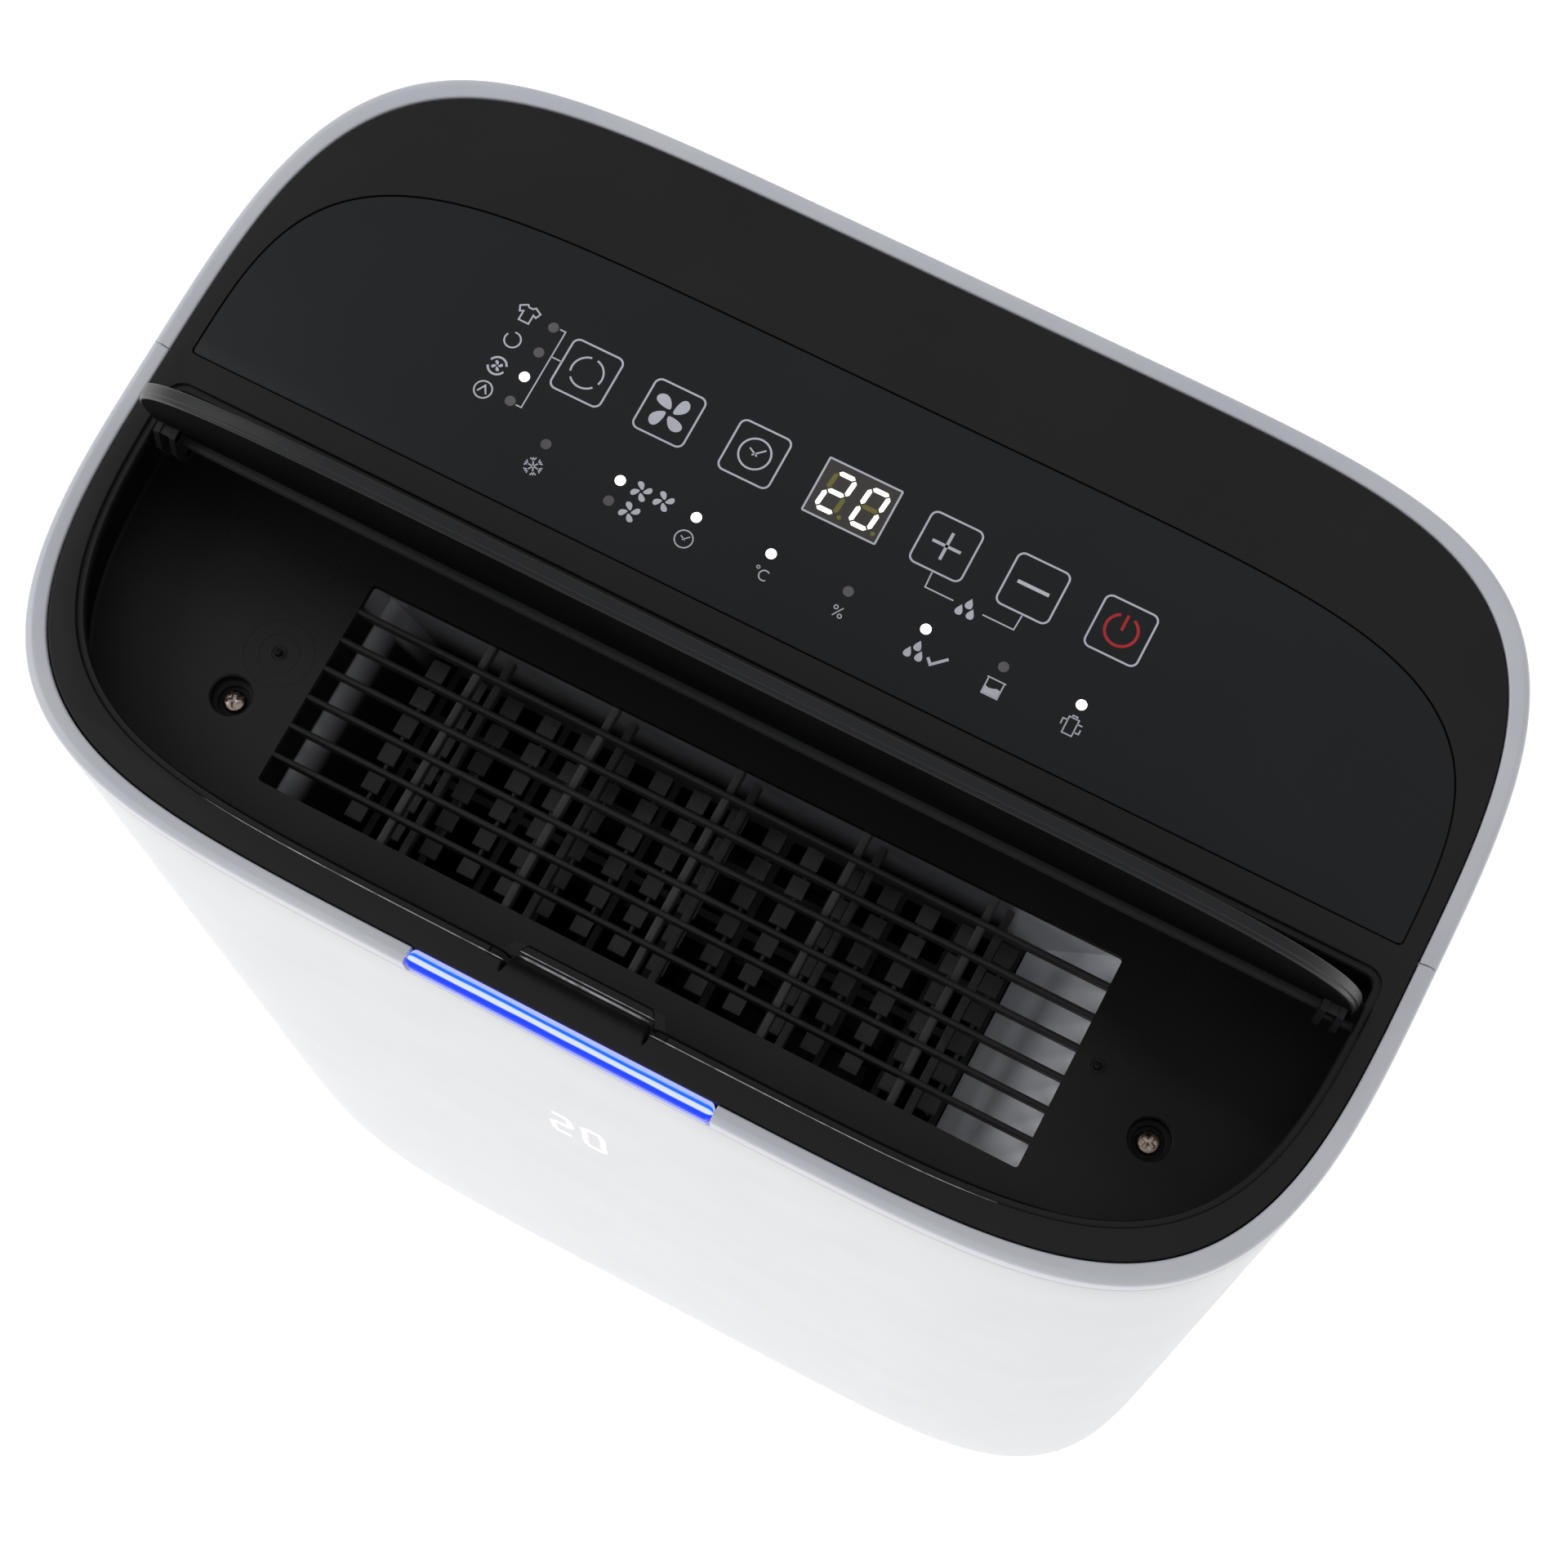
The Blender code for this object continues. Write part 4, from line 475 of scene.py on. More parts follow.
def finFinish():
    # a coil pack: thin fins across x with tube rows, shown in the bump and colour of its block
    paint = Paint("fin_pack", Metallic=1.0)
    fins = paint.node("ShaderNodeTexWave", {"bands_direction": "X"},
                      {"Vector": paint.place(), "Scale": 180.0, "Distortion": 0.3})
    tubes = paint.node("ShaderNodeTexWave", {"bands_direction": "Z"},
                       {"Vector": paint.place(), "Scale": 12.0})
    clouds = paint.noise(25.0, 4.0)
    shade = paint.span(fins * 0.6 + clouds * 0.3 + tubes * 0.1, 0.2, 0.8, 0.0, 1.0)
    colour = paint.blend(shade, tone(96, 98, 100), tone(206, 208, 210))
    return paint.set(Base_Color=colour, Roughness=paint.span(clouds, 0.3, 0.7, 0.28, 0.5),
                     Normal=paint.bump(fins, 0.0006))


def boardFinish():
    # a circuit board: green lacquer over paler copper tracks, in right-angled cells
    paint = Paint("board_green", Coat_Weight=0.3, Coat_Roughness=0.2)
    cells = paint.node("ShaderNodeTexVoronoi", {"feature": "DISTANCE_TO_EDGE"},
                       {"Vector": paint.place(), "Scale": 220.0})
    tracks = cells > 0.12
    colour = paint.blend(tracks, tone(38, 120, 66), tone(14, 74, 38))
    clouds = paint.noise(60.0, 3.0)
    return paint.set(Base_Color=colour, Roughness=paint.span(clouds, 0.3, 0.7, 0.3, 0.5),
                     Normal=paint.bump(tracks, 0.0001))


def tankFinish():
    # smoke tinted plastic that lets some light through, cloudier in places, with fine scratches
    paint = Paint("tank_smoke", Transmission_Weight=0.55, IOR=1.49, Coat_Weight=0.2)
    clouds = paint.noise(16.0, 4.0)
    scratch = paint.noise(240.0, 2.0, 0.7, (1, 1, 0.08))
    colour = paint.blend(paint.span(clouds, 0.35, 0.65, 0.0, 1.0), tone(128, 136, 144), tone(150, 158, 166))
    roughness = paint.span(clouds * 0.5 + scratch * 0.5, 0.35, 0.65, 0.12, 0.26)
    return paint.set(Base_Color=colour, Roughness=roughness, Normal=paint.bump(scratch, 0.00002))


def netFinish():
    # a fine nylon net: threads both ways, paler on their crowns
    paint = Paint("nylon_net", Sheen_Weight=0.2)
    up = paint.node("ShaderNodeTexWave", {"bands_direction": "X"}, {"Vector": paint.place(), "Scale": 260.0})
    across = paint.node("ShaderNodeTexWave", {"bands_direction": "Z"},
                        {"Vector": paint.place(), "Scale": 260.0})
    weave = paint.node("ShaderNodeMath", {"operation": "MAXIMUM"}, {0: up, 1: across})
    colour = paint.blend(weave, tone(20, 20, 22), tone(74, 74, 80))
    return paint.set(Base_Color=colour, Roughness=paint.span(weave, 0.0, 1.0, 0.9, 0.6),
                     Normal=paint.bump(weave, 0.0004))


def barFinish():
    # the light guide: stripes across its width, which the v of its map counts from the deck to the case
    paint = Paint("light_guide", Roughness=0.25, Emission_Strength=1.0, Specular_IOR_Level=0.15)
    v = paint.node("ShaderNodeSeparateXYZ", {}, {0: paint.node("ShaderNodeUVMap", {"uv_map": "band"})},
                   output=1)
    wander = paint.noise(220.0, 2.0, 0.5, (0.25, 1, 1))
    across = v + (wander - 0.5) * 0.03
    stops = [(where, tone(*colour)) for where, colour in barSet["stripes"]]
    colour = paint.ramp(across, stops)
    return paint.set(Base_Color=paint.blend(0.85, colour, (0.02, 0.03, 0.08)), Emission_Color=colour)


ductGreyShaded = ductShadeFinish()
finPack, boardGreen, tankSmoke, netBlack = finFinish(), boardFinish(), tankFinish(), netFinish()
print("patterned finishes made")


caseSet = {"wall": 0.0025, "edge": 0.0010, "lowZ": 0.008, "gap": 0.00015, "seam": 0.0005, "steps": 240,
           "levels": 34}


def wallProfile(lowZ, highZ, wall, edge, levels):
    # outer face going up, rounded top, inner face going down, rounded foot
    turn = np.linspace(0, math.pi / 2, 5)
    z = np.linspace(0, 1, levels) ** 1.25 * (highZ - lowZ - 2 * edge) + lowZ + edge
    outer = np.column_stack([np.zeros(levels), z])
    top = np.column_stack([edge - edge * np.cos(turn), highZ - edge + edge * np.sin(turn)])[1:]
    foot = np.column_stack([edge - edge * np.sin(turn), lowZ + edge - edge * np.cos(turn)])[:-1]
    inner = np.column_stack([np.full(levels, wall), z[::-1]])
    return np.concatenate([foot, outer, top, [[wall, highZ]], inner, [[wall, lowZ]]])


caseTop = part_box("front_shell")[1][2]
profile = wallProfile(caseSet["lowZ"], caseTop, caseSet["wall"], caseSet["edge"], caseSet["levels"])


def halfRing(profile, first, last, halfX, halfY, seam, steps):
    # a wall profile carried round half the outline, its two ends laid flat beside y = 0
    angles = evenAngles(first, last, steps)
    run = np.linspace(0, 1, 7)[:-1] ** 2 * (angles[1] - angles[0])
    angles = np.concatenate([angles[0] + run, angles[1:-1], angles[-1] - run[::-1]])
    points = sweptWall(profile, angles, halfX, halfY, seam)
    shift = caseSet["gap"] * (-1 if first else 1)
    points[0, :, 1] = points[-1, :, 1] = shift
    return solidGrid(points)


addPiece("front_case",
         [halfRing(profile, 180, 360, halfWidth, halfDepth, caseSet["seam"], caseSet["steps"])],
         whiteCase, stands=["front_shell"])

intakeLow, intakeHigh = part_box("filter_frame")
tankLow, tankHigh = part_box("water_tank")
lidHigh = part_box("tank_lid")[1]
portZ = (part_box("drain_plug")[0][2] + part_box("drain_plug")[1][2]) / 2
plugX = (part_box("drain_plug")[0][0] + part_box("drain_plug")[1][0]) / 2


def yCutter(lowX, highX, lowZ, highZ, radius, nearY=0.055, farY=0.125):
    # a rounded rectangle in x and z, pushed along y
    loop = roundedLoop(((lowX + highX) / 2, (lowZ + highZ) / 2), (highX - lowX, highZ - lowZ), radius, 8)
    return standLoops([loop, loop], [nearY, farY])


def roundCutter(x, z, radius):
    # a cylinder along y
    turn = np.linspace(0, 2 * math.pi, 48, endpoint=False)
    loop = np.column_stack([x + radius * np.cos(turn), z + radius * np.sin(turn)])
    return standLoops([loop, loop], [0.055, 0.125])


bayGap = 0.003
intakeGap = 0.0004
rearCuts = [
    yCutter(intakeLow[0] - intakeGap, intakeHigh[0] + intakeGap,
            intakeLow[2] - intakeGap, intakeHigh[2] + intakeGap, 0.006),
    yCutter(tankLow[0] - bayGap, tankHigh[0] + bayGap, tankLow[2] - bayGap, lidHigh[2] + bayGap, 0.008),
    roundCutter(plugX, portZ, 0.0074),
    roundCutter(-plugX, portZ, 0.0059)]
addPiece("rear_case", [halfRing(profile, 0, 180, halfWidth, halfDepth, caseSet["seam"], caseSet["steps"])],
         whiteCase, stands=["rear_shell"], cuts=[[cut] for cut in rearCuts])
print("case made")


rimSet = {"width": 0.0045, "lowZ": 0.5020, "seat": 0.001, "steps": 240}
barSet = {"half": 0.0406, "endRound": 0.0016, "steps": 121,
          "stripes": [(0.0, (40, 60, 150)), (0.28, (120, 135, 240)), (0.34, (176, 186, 255)),
                      (0.415, (168, 180, 255)),
                      (0.435, (0, 112, 255)), (0.475, (0, 96, 255)), (0.495, (206, 218, 255)),
                      (0.555, (214, 224, 255)),
                      (0.575, (10, 60, 240)), (0.90, (0, 38, 228)), (0.94, (20, 50, 220)),
                      (0.97, (190, 196, 226))]}
deckHalfX, deckHalfY = halfWidth - rimSet["width"], halfDepth - rimSet["width"]


def rimProfile(lowZ, crownZ, width):
    # foot, outer side, rounded ridge, a crown that falls inwards, inner side; inset counts from the outside
    outerR, innerR, fall = 0.0020, 0.0006, 0.0007
    turn = np.linspace(0, math.pi / 2, 9)
    outer = np.column_stack([outerR * (1 - np.cos(turn)), crownZ - outerR + outerR * np.sin(turn)])
    inner = np.column_stack([width - innerR * (1 - np.sin(turn)),
                             crownZ - fall - innerR + innerR * np.cos(turn)])
    return np.concatenate([[[0.0003, lowZ], [0.0, lowZ + 0.0004]], outer, inner,
                           [[width, lowZ + 0.0004], [width - 0.0003, lowZ]]])


ringProfile = rimProfile(rimSet["lowZ"], topZ, rimSet["width"])
barLoop = roundedLoop((0, rimSet["lowZ"] + rimSet["seat"] + 0.01), (2 * barSet["half"] + 0.0006, 0.02),
                      0.0012, 8)
barCut = standLoops([barLoop, barLoop], [-0.125, -0.095])
addPiece("ring_front", [halfRing(ringProfile, 180, 360, halfWidth, halfDepth, 0.0003, rimSet["steps"])],
         rimGrey, stands=["top_rim_front"], cuts=[[barCut]])
addPiece("ring_rear", [halfRing(ringProfile, 0, 180, halfWidth, halfDepth, 0.0003, rimSet["steps"])],
         rimGrey, stands=["top_rim_rear"])


def makeBar():
    # the ring's section carried across the front's middle, drawn in round both ends, with a map of its width
    half, steps = barSet["half"], barSet["steps"]
    inset, z = rimProfile(rimSet["lowZ"] + rimSet["seat"] + 0.0003, topZ, rimSet["width"]).T
    rise = np.linspace(-1, 1, steps)
    x = half * np.sin(rise * math.pi / 2)
    near = np.clip((half - np.abs(x)) / barSet["endRound"], 0.0, 1.0)
    shrink = np.clip(np.sqrt(1 - (1 - near) ** 2), 0.08, 1)[:, None]
    midInset, midZ = rimSet["width"] / 2, z.min() + 0.003
    insets = midInset + (inset - midInset) * (0.25 + 0.75 * shrink)
    heights = midZ + (z - midZ) * (0.45 + 0.55 * shrink)
    y = -outlineY(x[:, None], halfWidth - insets, halfDepth - insets, outlineShape["frontPower"])
    points = np.stack([np.broadcast_to(x[:, None], y.shape), y, heights], axis=-1)
    bar = addPiece("light_guide", [solidGrid(points)], barFinish(), stands=["light_bar"],
                   angle=60)
    run = np.concatenate([[0], np.cumsum(np.hypot(np.diff(inset), np.diff(z)))])
    v = 1 - (run - run[1]) / (run[-2] - run[1])
    layer = bar.data.uv_layers.new(name="band")
    corner = np.zeros(len(bar.data.loops), int)
    bar.data.loops.foreach_get("vertex_index", corner)
    uv = np.column_stack([np.repeat(x, len(v))[corner] / half, np.tile(v, steps)[corner]])
    layer.data.foreach_set("uv", uv.ravel())


makeBar()
print("ring and light bar made")


deckSet = {"gap": 0.0003, "edge": 0.0005, "lowZ": deckZ - 0.0035, "lipRadius": 0.0004, "ledge": 0.0019,
           "ledgeDrop": 0.0010}
scoopSet = {"half": 0.0190, "step": 0.0017, "backY": -0.1030, "centreX": -0.0007, "lowZ": deckZ - 0.0053,
            "frontY": -0.0936, "round": 0.0009, "flatFrom": 0.88, "easePower": 4, "lip": 0.0006}
openingSet = {"halfX": 0.1635, "halfY": 0.0962, "rearY": -0.0078}
traySet = {"halfX": 0.1674, "halfY": 0.1001, "rearY": -0.0065, "floorZ": 0.483, "lowZ": 0.4805,
           "topZ": 0.5052, "wall": 0.0018, "fillet": 0.0010}
trayShadedBlack = recessShadeFinish()
panelSet = {"halfWidth": 0.165, "depth": 0.0702, "frontY": 0.002, "topZ": deckZ - 0.0001, "thick": 0.0012,
            "gap": 0.00035, "sidePower": 6.0, "backPower": 3.4, "corner": 0.0012, "edge": 0.00025}
grilleSet = {"centre": (0.003, -0.053), "size": (0.210, 0.058), "rows": 7, "columns": 6, "bar": 0.0015,
             "barDeep": 0.0042, "rib": 0.0021, "ribTop": 0.4806, "ribDeep": 0.004, "twinStep": 0.0042,
             "twinTop": 0.4725}
vaneSet = {"pitch": 0.0108, "width": 0.0048, "length": 0.0054, "thick": 0.0012, "z": 0.4665, "shiftY": 0.0037,
           "firstX": -0.083, "count": 16, "stringer": 0.0010}
screwSet = {"places": {"left": (-0.119, -0.066), "right": (0.133, -0.061)}, "well": 0.00525,
            "wellDeep": 0.0060, "seat": 0.0040, "seatHigh": 0.0020,
            "head": 0.0029, "turn": {"left": 25.0, "right": 70.0}, "crossHalf": 0.00060,
            "crossReach": 0.00185,
            "crossDeep": 0.0013, "dome": 0.0007, "crossTaper": 0.35, "taperAt": 0.002}

fullTurn = evenAngles(0, 360, 481)[:-1]
deckX, deckY = deckHalfX - deckSet["gap"], deckHalfY - deckSet["gap"]
turn = np.linspace(0, math.pi / 2, 6)
edge = deckSet["edge"]
deckInsets = np.concatenate([[0.0], edge * (1 - np.cos(turn))])
deckHeights = np.concatenate([[deckSet["lowZ"]], deckZ - edge + edge * np.sin(turn)])
deckLoops = [np.column_stack(outlineAt(fullTurn, deckX - k, deckY - k)) for k in deckInsets]
opening = openingLoop(openingSet["halfX"], openingSet["halfY"], openingSet["rearY"])
lip = deckSet["lipRadius"]
lipTurn = np.linspace(0, math.pi / 2, 7)
ledge, ledgeZ = deckSet["ledge"], deckZ - deckSet["ledgeDrop"]
grow = [0, 0, 0.0004, ledge - 0.0002, ledge, *(ledge + lip * (1 - np.cos(lipTurn))), ledge + lip]
openLoops = [offsetLoop(opening, g) for g in grow]
openHeights = [deckSet["lowZ"] - 0.01, ledgeZ - 0.0004, ledgeZ, ledgeZ, ledgeZ + 0.0002,
               *(deckZ - lip + lip * np.sin(lipTurn)), deckZ + 0.01]
panelCut = loftLoops([panelLoop(panelSet["gap"])] * 2,
                     [panelSet["topZ"] - panelSet["thick"] - 0.0002, deckZ + 0.01])


def insideScoop(x, step):
    # 1 within the scoop, 0 outside it, as (share of the drop, share of the move inwards): down first, then in
    share = np.clip((scoopSet["half"] + step / 2 - np.abs(x - scoopSet["centreX"])) / step, 0, 1)
    share = share * share * (3 - 2 * share)
    return np.clip(2 * share, 0, 1), np.clip(2 * share - 1, 0, 1)


def scoopSolid():
    # finger scoop: z = deck - drop * (y share / flatFrom) ^ easePower * down(x), its front edge rounded over
    x = np.linspace(-scoopSet["half"] - 3 * scoopSet["step"], scoopSet["half"] + 3 * scoopSet["step"], 161)
    x = x + scoopSet["centreX"]
    down, inwards = insideScoop(x, scoopSet["step"])
    ledgeY = -outlineY(x, openingSet["halfX"] + deckSet["ledge"], openingSet["halfY"] + deckSet["ledge"],
                       outlineShape["frontPower"])
    edgeY = ledgeY + (scoopSet["frontY"] - ledgeY) * inwards
    share = np.linspace(0, 1, 25)
    y = scoopSet["backY"] + (edgeY[:, None] - scoopSet["round"] - scoopSet["backY"]) * share
    ease = np.clip(share / scoopSet["flatFrom"], 0, 1) ** scoopSet["easePower"]
    drop = (deckZ - scoopSet["lowZ"] - scoopSet["round"]) * down[:, None] * ease
    z = deckZ - 0.00002 - drop
    arc = np.linspace(0, math.pi / 2, 9)[1:]
    roundY = y[:, -1:] + scoopSet["round"] * np.sin(arc)
    roundZ = z[:, -1:] - scoopSet["round"] * (1 - np.cos(arc))
    lipHigh = scoopSet["lip"]
    under = np.column_stack([edgeY, edgeY - lipHigh, np.full(len(x), scoopSet["backY"])])
    lastZ = roundZ[:, -1]
    underZ = np.column_stack([lastZ - lipHigh, lastZ - 2 * lipHigh, np.full(len(x), deckSet["lowZ"])])
    allY, allZ = np.hstack([y, roundY, under]), np.hstack([z, roundZ, underZ])
    return solidGrid(np.stack([np.broadcast_to(x[:, None], allY.shape), allY, allZ], axis=-1))


scoopWide = scoopSet["half"] + 2.9 * scoopSet["step"]
scoopLoop = roundedLoop((scoopSet["centreX"], scoopSet["backY"] + 0.01005), (2 * scoopWide, 0.02), 0.0002, 3)
scoopCut = loftLoops([scoopLoop, scoopLoop], [deckSet["lowZ"] - 0.01, deckZ + 0.01])
addPiece("deck", [loftLoops(deckLoops, deckHeights)], deckBlack, stands=["top_deck"],
         cuts=[[loftLoops(openLoops, openHeights)], [panelCut], [scoopCut]])
addPiece("finger_scoop", [scoopSolid()], deckBlack, angle=60)

lipLineSet = {"firstX": -0.112, "lastX": 0.120, "radius": 0.00016, "softRadius": 0.00034, "softBack": 0.0011,
           "fade": 0.030,
           "shadow": 0.00030, "shadowStep": 0.0050, "lift": 0.00012, "cornerFade": 0.0022, "thinEnd": 0.12,
           "softFade": 0.002, "softInset": 0.0016, "tabY": -0.0918, "tabZ": deckZ - 0.0049,
           "tabSlope": 0.0030, "tabDepth": 0.0065, "tabSide": 0.0022, "tabThick": 0.0012, "tabGrow": 0.0008}


def paintedLipLine(firstX, lastX, radius, fade, grow, outerZ, scoopY, scoopZ, step, broken=False):
    # a painted line along the lip that dips with the scoop: a small circle carried along x, thinner at its
    # ends; it draws the painted highlights and the painted shadow along the lip
    x = np.linspace(firstX, lastX, 361)
    down, inwards = insideScoop(x, step)
    lipY = -outlineY(x, openingSet["halfX"] + grow, openingSet["halfY"] + grow, outlineShape["frontPower"])
    y = lipY + (scoopY - lipY) * inwards
    z = outerZ + (scoopZ - outerZ) * down
    near = np.clip(np.minimum(x - firstX, lastX - x) / fade, 0, 1)
    if broken:
        corner = np.abs(np.abs(x - scoopSet["centreX"]) - scoopSet["half"])
        near = near * np.clip(corner / lipLineSet["cornerFade"], 0, 1)
    r = radius * (lipLineSet["thinEnd"] + (1 - lipLineSet["thinEnd"]) * near)[:, None]
    turn = np.linspace(0, 2 * math.pi, 12, endpoint=False)
    return solidGrid(np.stack([np.broadcast_to(x[:, None], (len(x), 12)), y[:, None] + r * np.cos(turn),
                               z[:, None] + r * np.sin(turn)], axis=-1))


def scoopTab():
    # the ledge goes on round the scoop, lower down, as a thin plate with slanted sides
    middle, wide, slope = scoopSet["centreX"], scoopSet["half"] + lipLineSet["tabGrow"], lipLineSet["tabSlope"]
    rearY = lipLineSet["tabY"] - lipLineSet["tabDepth"]
    sideY = rearY + lipLineSet["tabSide"]
    corners = np.array([[middle - wide - slope, rearY], [middle + wide + slope, rearY],
                        [middle + wide + slope, sideY], [middle + wide, lipLineSet["tabY"]],
                        [middle - wide, lipLineSet["tabY"]], [middle - wide - slope, sideY]])
    return loftLoops([corners, corners], [lipLineSet["tabZ"] - lipLineSet["tabThick"], lipLineSet["tabZ"]])


scoopY, scoopZ, back = scoopSet["frontY"] - 0.0002, scoopSet["lowZ"] + 0.0006, lipLineSet["softBack"]
scoopEnds = np.array([-1, 1]) * (scoopSet["half"] - lipLineSet["softInset"]) + scoopSet["centreX"]
# painted highlight: a thin light grey line where the deck's lip catches light
addPiece("lip_highlight", [paintedLipLine(lipLineSet["firstX"], lipLineSet["lastX"], lipLineSet["radius"], lipLineSet["fade"],
                              deckSet["ledge"] + lipLineSet["lift"], deckZ - lipLineSet["lift"], scoopY, scoopZ,
                              scoopSet["step"], True)],
         lipHighlightGrey, angle=80)
# painted highlight: a softer light grey line along the scoop's rounded edge
addPiece("scoop_highlight", [paintedLipLine(*scoopEnds, lipLineSet["softRadius"], lipLineSet["softFade"], 0.0, deckZ,
                                scoopY - back, scoopZ + 0.3 * back,
                                scoopSet["step"])], lipHighlightGrey, angle=80)
addPiece("scoop_tab", [scoopTab()], deckBlack)
addPiece("ledge_shadow", [paintedLipLine(lipLineSet["firstX"], lipLineSet["lastX"], lipLineSet["shadow"], lipLineSet["fade"],
                                  0.0, ledgeZ - 0.0002,
                                  lipLineSet["tabY"], lipLineSet["tabZ"] - 0.0002, lipLineSet["shadowStep"])],
         shadeBlack, angle=80)
print("deck made")


def trayRings(fillet):
    # the hollow's loops: straight walls, then a fillet that runs into the floor
    base = openingLoop(traySet["halfX"], traySet["halfY"], traySet["rearY"], cornerRadius=0.006)
    arc = np.linspace(0, math.pi / 2, 8)
    loops = [offsetLoop(base, -fillet * (1 - math.cos(a))) for a in arc[::-1]] + [base]
    heights = [traySet["floorZ"] + fillet * (1 - math.sin(a)) for a in arc[::-1]] + [traySet["topZ"] + 0.01]
    return loftLoops(loops, heights)


outerLoop = openingLoop(traySet["halfX"] + traySet["wall"], traySet["halfY"] + traySet["wall"],
                        traySet["rearY"] + traySet["wall"])
(gx, gy), (gw, gd) = grilleSet["centre"], grilleSet["size"]
grilleLoop = roundedLoop((gx, gy), (gw, gd), 0.0008, 4)
grilleCut = loftLoops([grilleLoop] * 2, [traySet["lowZ"] - 0.001, traySet["floorZ"] + 0.001])


def wellCut(x, y):
    # the bore of a screw well, flared at the floor
    turn = np.linspace(0, 2 * math.pi, 64, endpoint=False)
    ring = np.column_stack([np.cos(turn), np.sin(turn)])
    radii = [screwSet["well"], screwSet["well"], screwSet["well"] + 0.0004, screwSet["well"] + 0.0005]
    heights = [traySet["lowZ"] - 0.001, traySet["floorZ"] - 0.0004, traySet["floorZ"],
               traySet["floorZ"] + 0.001]
    return loftLoops([ring * r + np.array([x, y]) for r in radii], heights)


def wellCup(x, y):
    # the well itself: a cup with a stepped seat, turned about its axis
    inner, outer = screwSet["well"], screwSet["well"] + 0.0018
    floorZ = traySet["floorZ"] - screwSet["wellDeep"]
    seat, step = screwSet["seat"], floorZ + screwSet["seatHigh"]
    profile = [(seat, floorZ), (seat, step - 0.0003), (seat + 0.0003, step), (inner, step),
               (inner, traySet["floorZ"] - 0.0006),
               (outer, traySet["floorZ"] - 0.0006), (outer, floorZ - 0.0018), (0.0018, floorZ - 0.0018),
               (0.0018, floorZ)]
    return turnedGrid(profile, (x, y, 0), 64)


def pin(x, y):
    # a locating pin in a shallow ring
    z = traySet["floorZ"]
    post = [(0.0001, z + 0.0014), (0.0008, z + 0.0013), (0.0010, z + 0.0010), (0.0011, z - 0.0004),
            (0.0001, z - 0.0004)]
    ring = [(0.0017, z - 0.0003), (0.0017, z + 0.0001), (0.0019, z + 0.00018), (0.0021, z + 0.0001),
            (0.0021, z - 0.0003)]
    return [turnedGrid(post, (x, y, 0), 24), turnedGrid(ring, (x, y, 0), 40)]


def floorMark(x, y, radius, width=0.0003, height=0.00008):
    # a faint raised ring on the recess floor
    z = traySet["floorZ"]
    ring = [(radius - width, z - 0.0002), (radius - width / 2, z + height), (radius + width / 2, z + height),
            (radius + width, z - 0.0002)]
    return turnedGrid(ring, (x, y, 0), 72)


wells = list(screwSet["places"].values())
trayExtras = [wellCup(x, y) for x, y in wells] + pin(-0.114, -0.051) + pin(0.114, -0.051)
trayExtras += [floorMark(-0.114, -0.051, 0.0090), floorMark(-0.114, -0.051, 0.0052)]
for lowX, highX, lowY, highY in ((-0.142, -0.112, -0.0225, -0.0222), (-0.142, -0.112, -0.0302, -0.0299)):
    trayExtras.append(blockGrid((lowX, lowY, traySet["floorZ"] - 0.0003),
                                (highX, highY, traySet["floorZ"] + 0.0001), 0.0001))
for x in (-0.142, -0.112):
    trayExtras.append(blockGrid((x, -0.0302, traySet["floorZ"] - 0.0003),
                                (x + 0.0003, -0.0222, traySet["floorZ"] + 0.0001), 0.0001, 1))
addPiece("recess", [loftLoops([outerLoop] * 2, [traySet["lowZ"], traySet["topZ"]])], trayShadedBlack,
                stands=["outlet_tray"],
                cuts=[[trayRings(traySet["fillet"])], [grilleCut], [wellCut(*wells[0]), wellCut(*wells[1])]])
addPiece("recess_details", trayExtras, trayShadedBlack)


def grilleBars():
    # thin bars along x, level with the recess floor
    rows, bar, top = grilleSet["rows"], grilleSet["bar"], traySet["floorZ"]
    lowY, lowX, highX = gy - gd / 2, gx - gw / 2 - 0.0008, gx + gw / 2 + 0.0008
    solids = []
    for k in range(1, rows):
        y = lowY + (gd + bar) / rows * k - bar
        solids.append(blockGrid((lowX, y, top - grilleSet["barDeep"]), (highX, y + bar, top - 0.0001),
                                0.0005))
    return solids


def grilleRibs():
    # flat cross ribs under the bars; each has a lower twin beside it
    rib, columns = grilleSet["rib"], grilleSet["columns"]
    lowX, lowY, highY = gx - gw / 2, gy - gd / 2 - 0.0008, gy + gd / 2 + 0.0008
    solids = []
    for k in range(1, columns):
        x = lowX + (gw + rib) / columns * k - rib
        for shift, top in ((0.0, grilleSet["ribTop"]), (grilleSet["twinStep"], grilleSet["twinTop"])):
            solids.append(blockGrid((x + shift, lowY, top - grilleSet["ribDeep"]),
                                    (x + shift + rib, highY, top), 0.0004, 1))
    return solids


def outletVanes():
    # small plates under each gap between the bars, joined in columns by stringers
    solids = []
    rows, half, z = grilleSet["rows"], vaneSet["length"] / 2, vaneSet["z"]
    rowY = [gy - gd / 2 + gd / rows * (k + 0.5) + vaneSet["shiftY"] for k in range(rows - 1)]
    for i in range(vaneSet["count"]):
        x = vaneSet["firstX"] + vaneSet["pitch"] * i
        for y in rowY:
            solids.append(blockGrid((x, y - half, z - vaneSet["thick"]),
                                    (x + vaneSet["width"], y + half, z), 0.0003))
        middle = x + vaneSet["width"] / 2
        solids.append(blockGrid((middle, rowY[0] - half, z - 0.004),
                                (middle + vaneSet["stringer"], rowY[-1] + half, z - 0.0009), 0.0003, 1))
    return solids


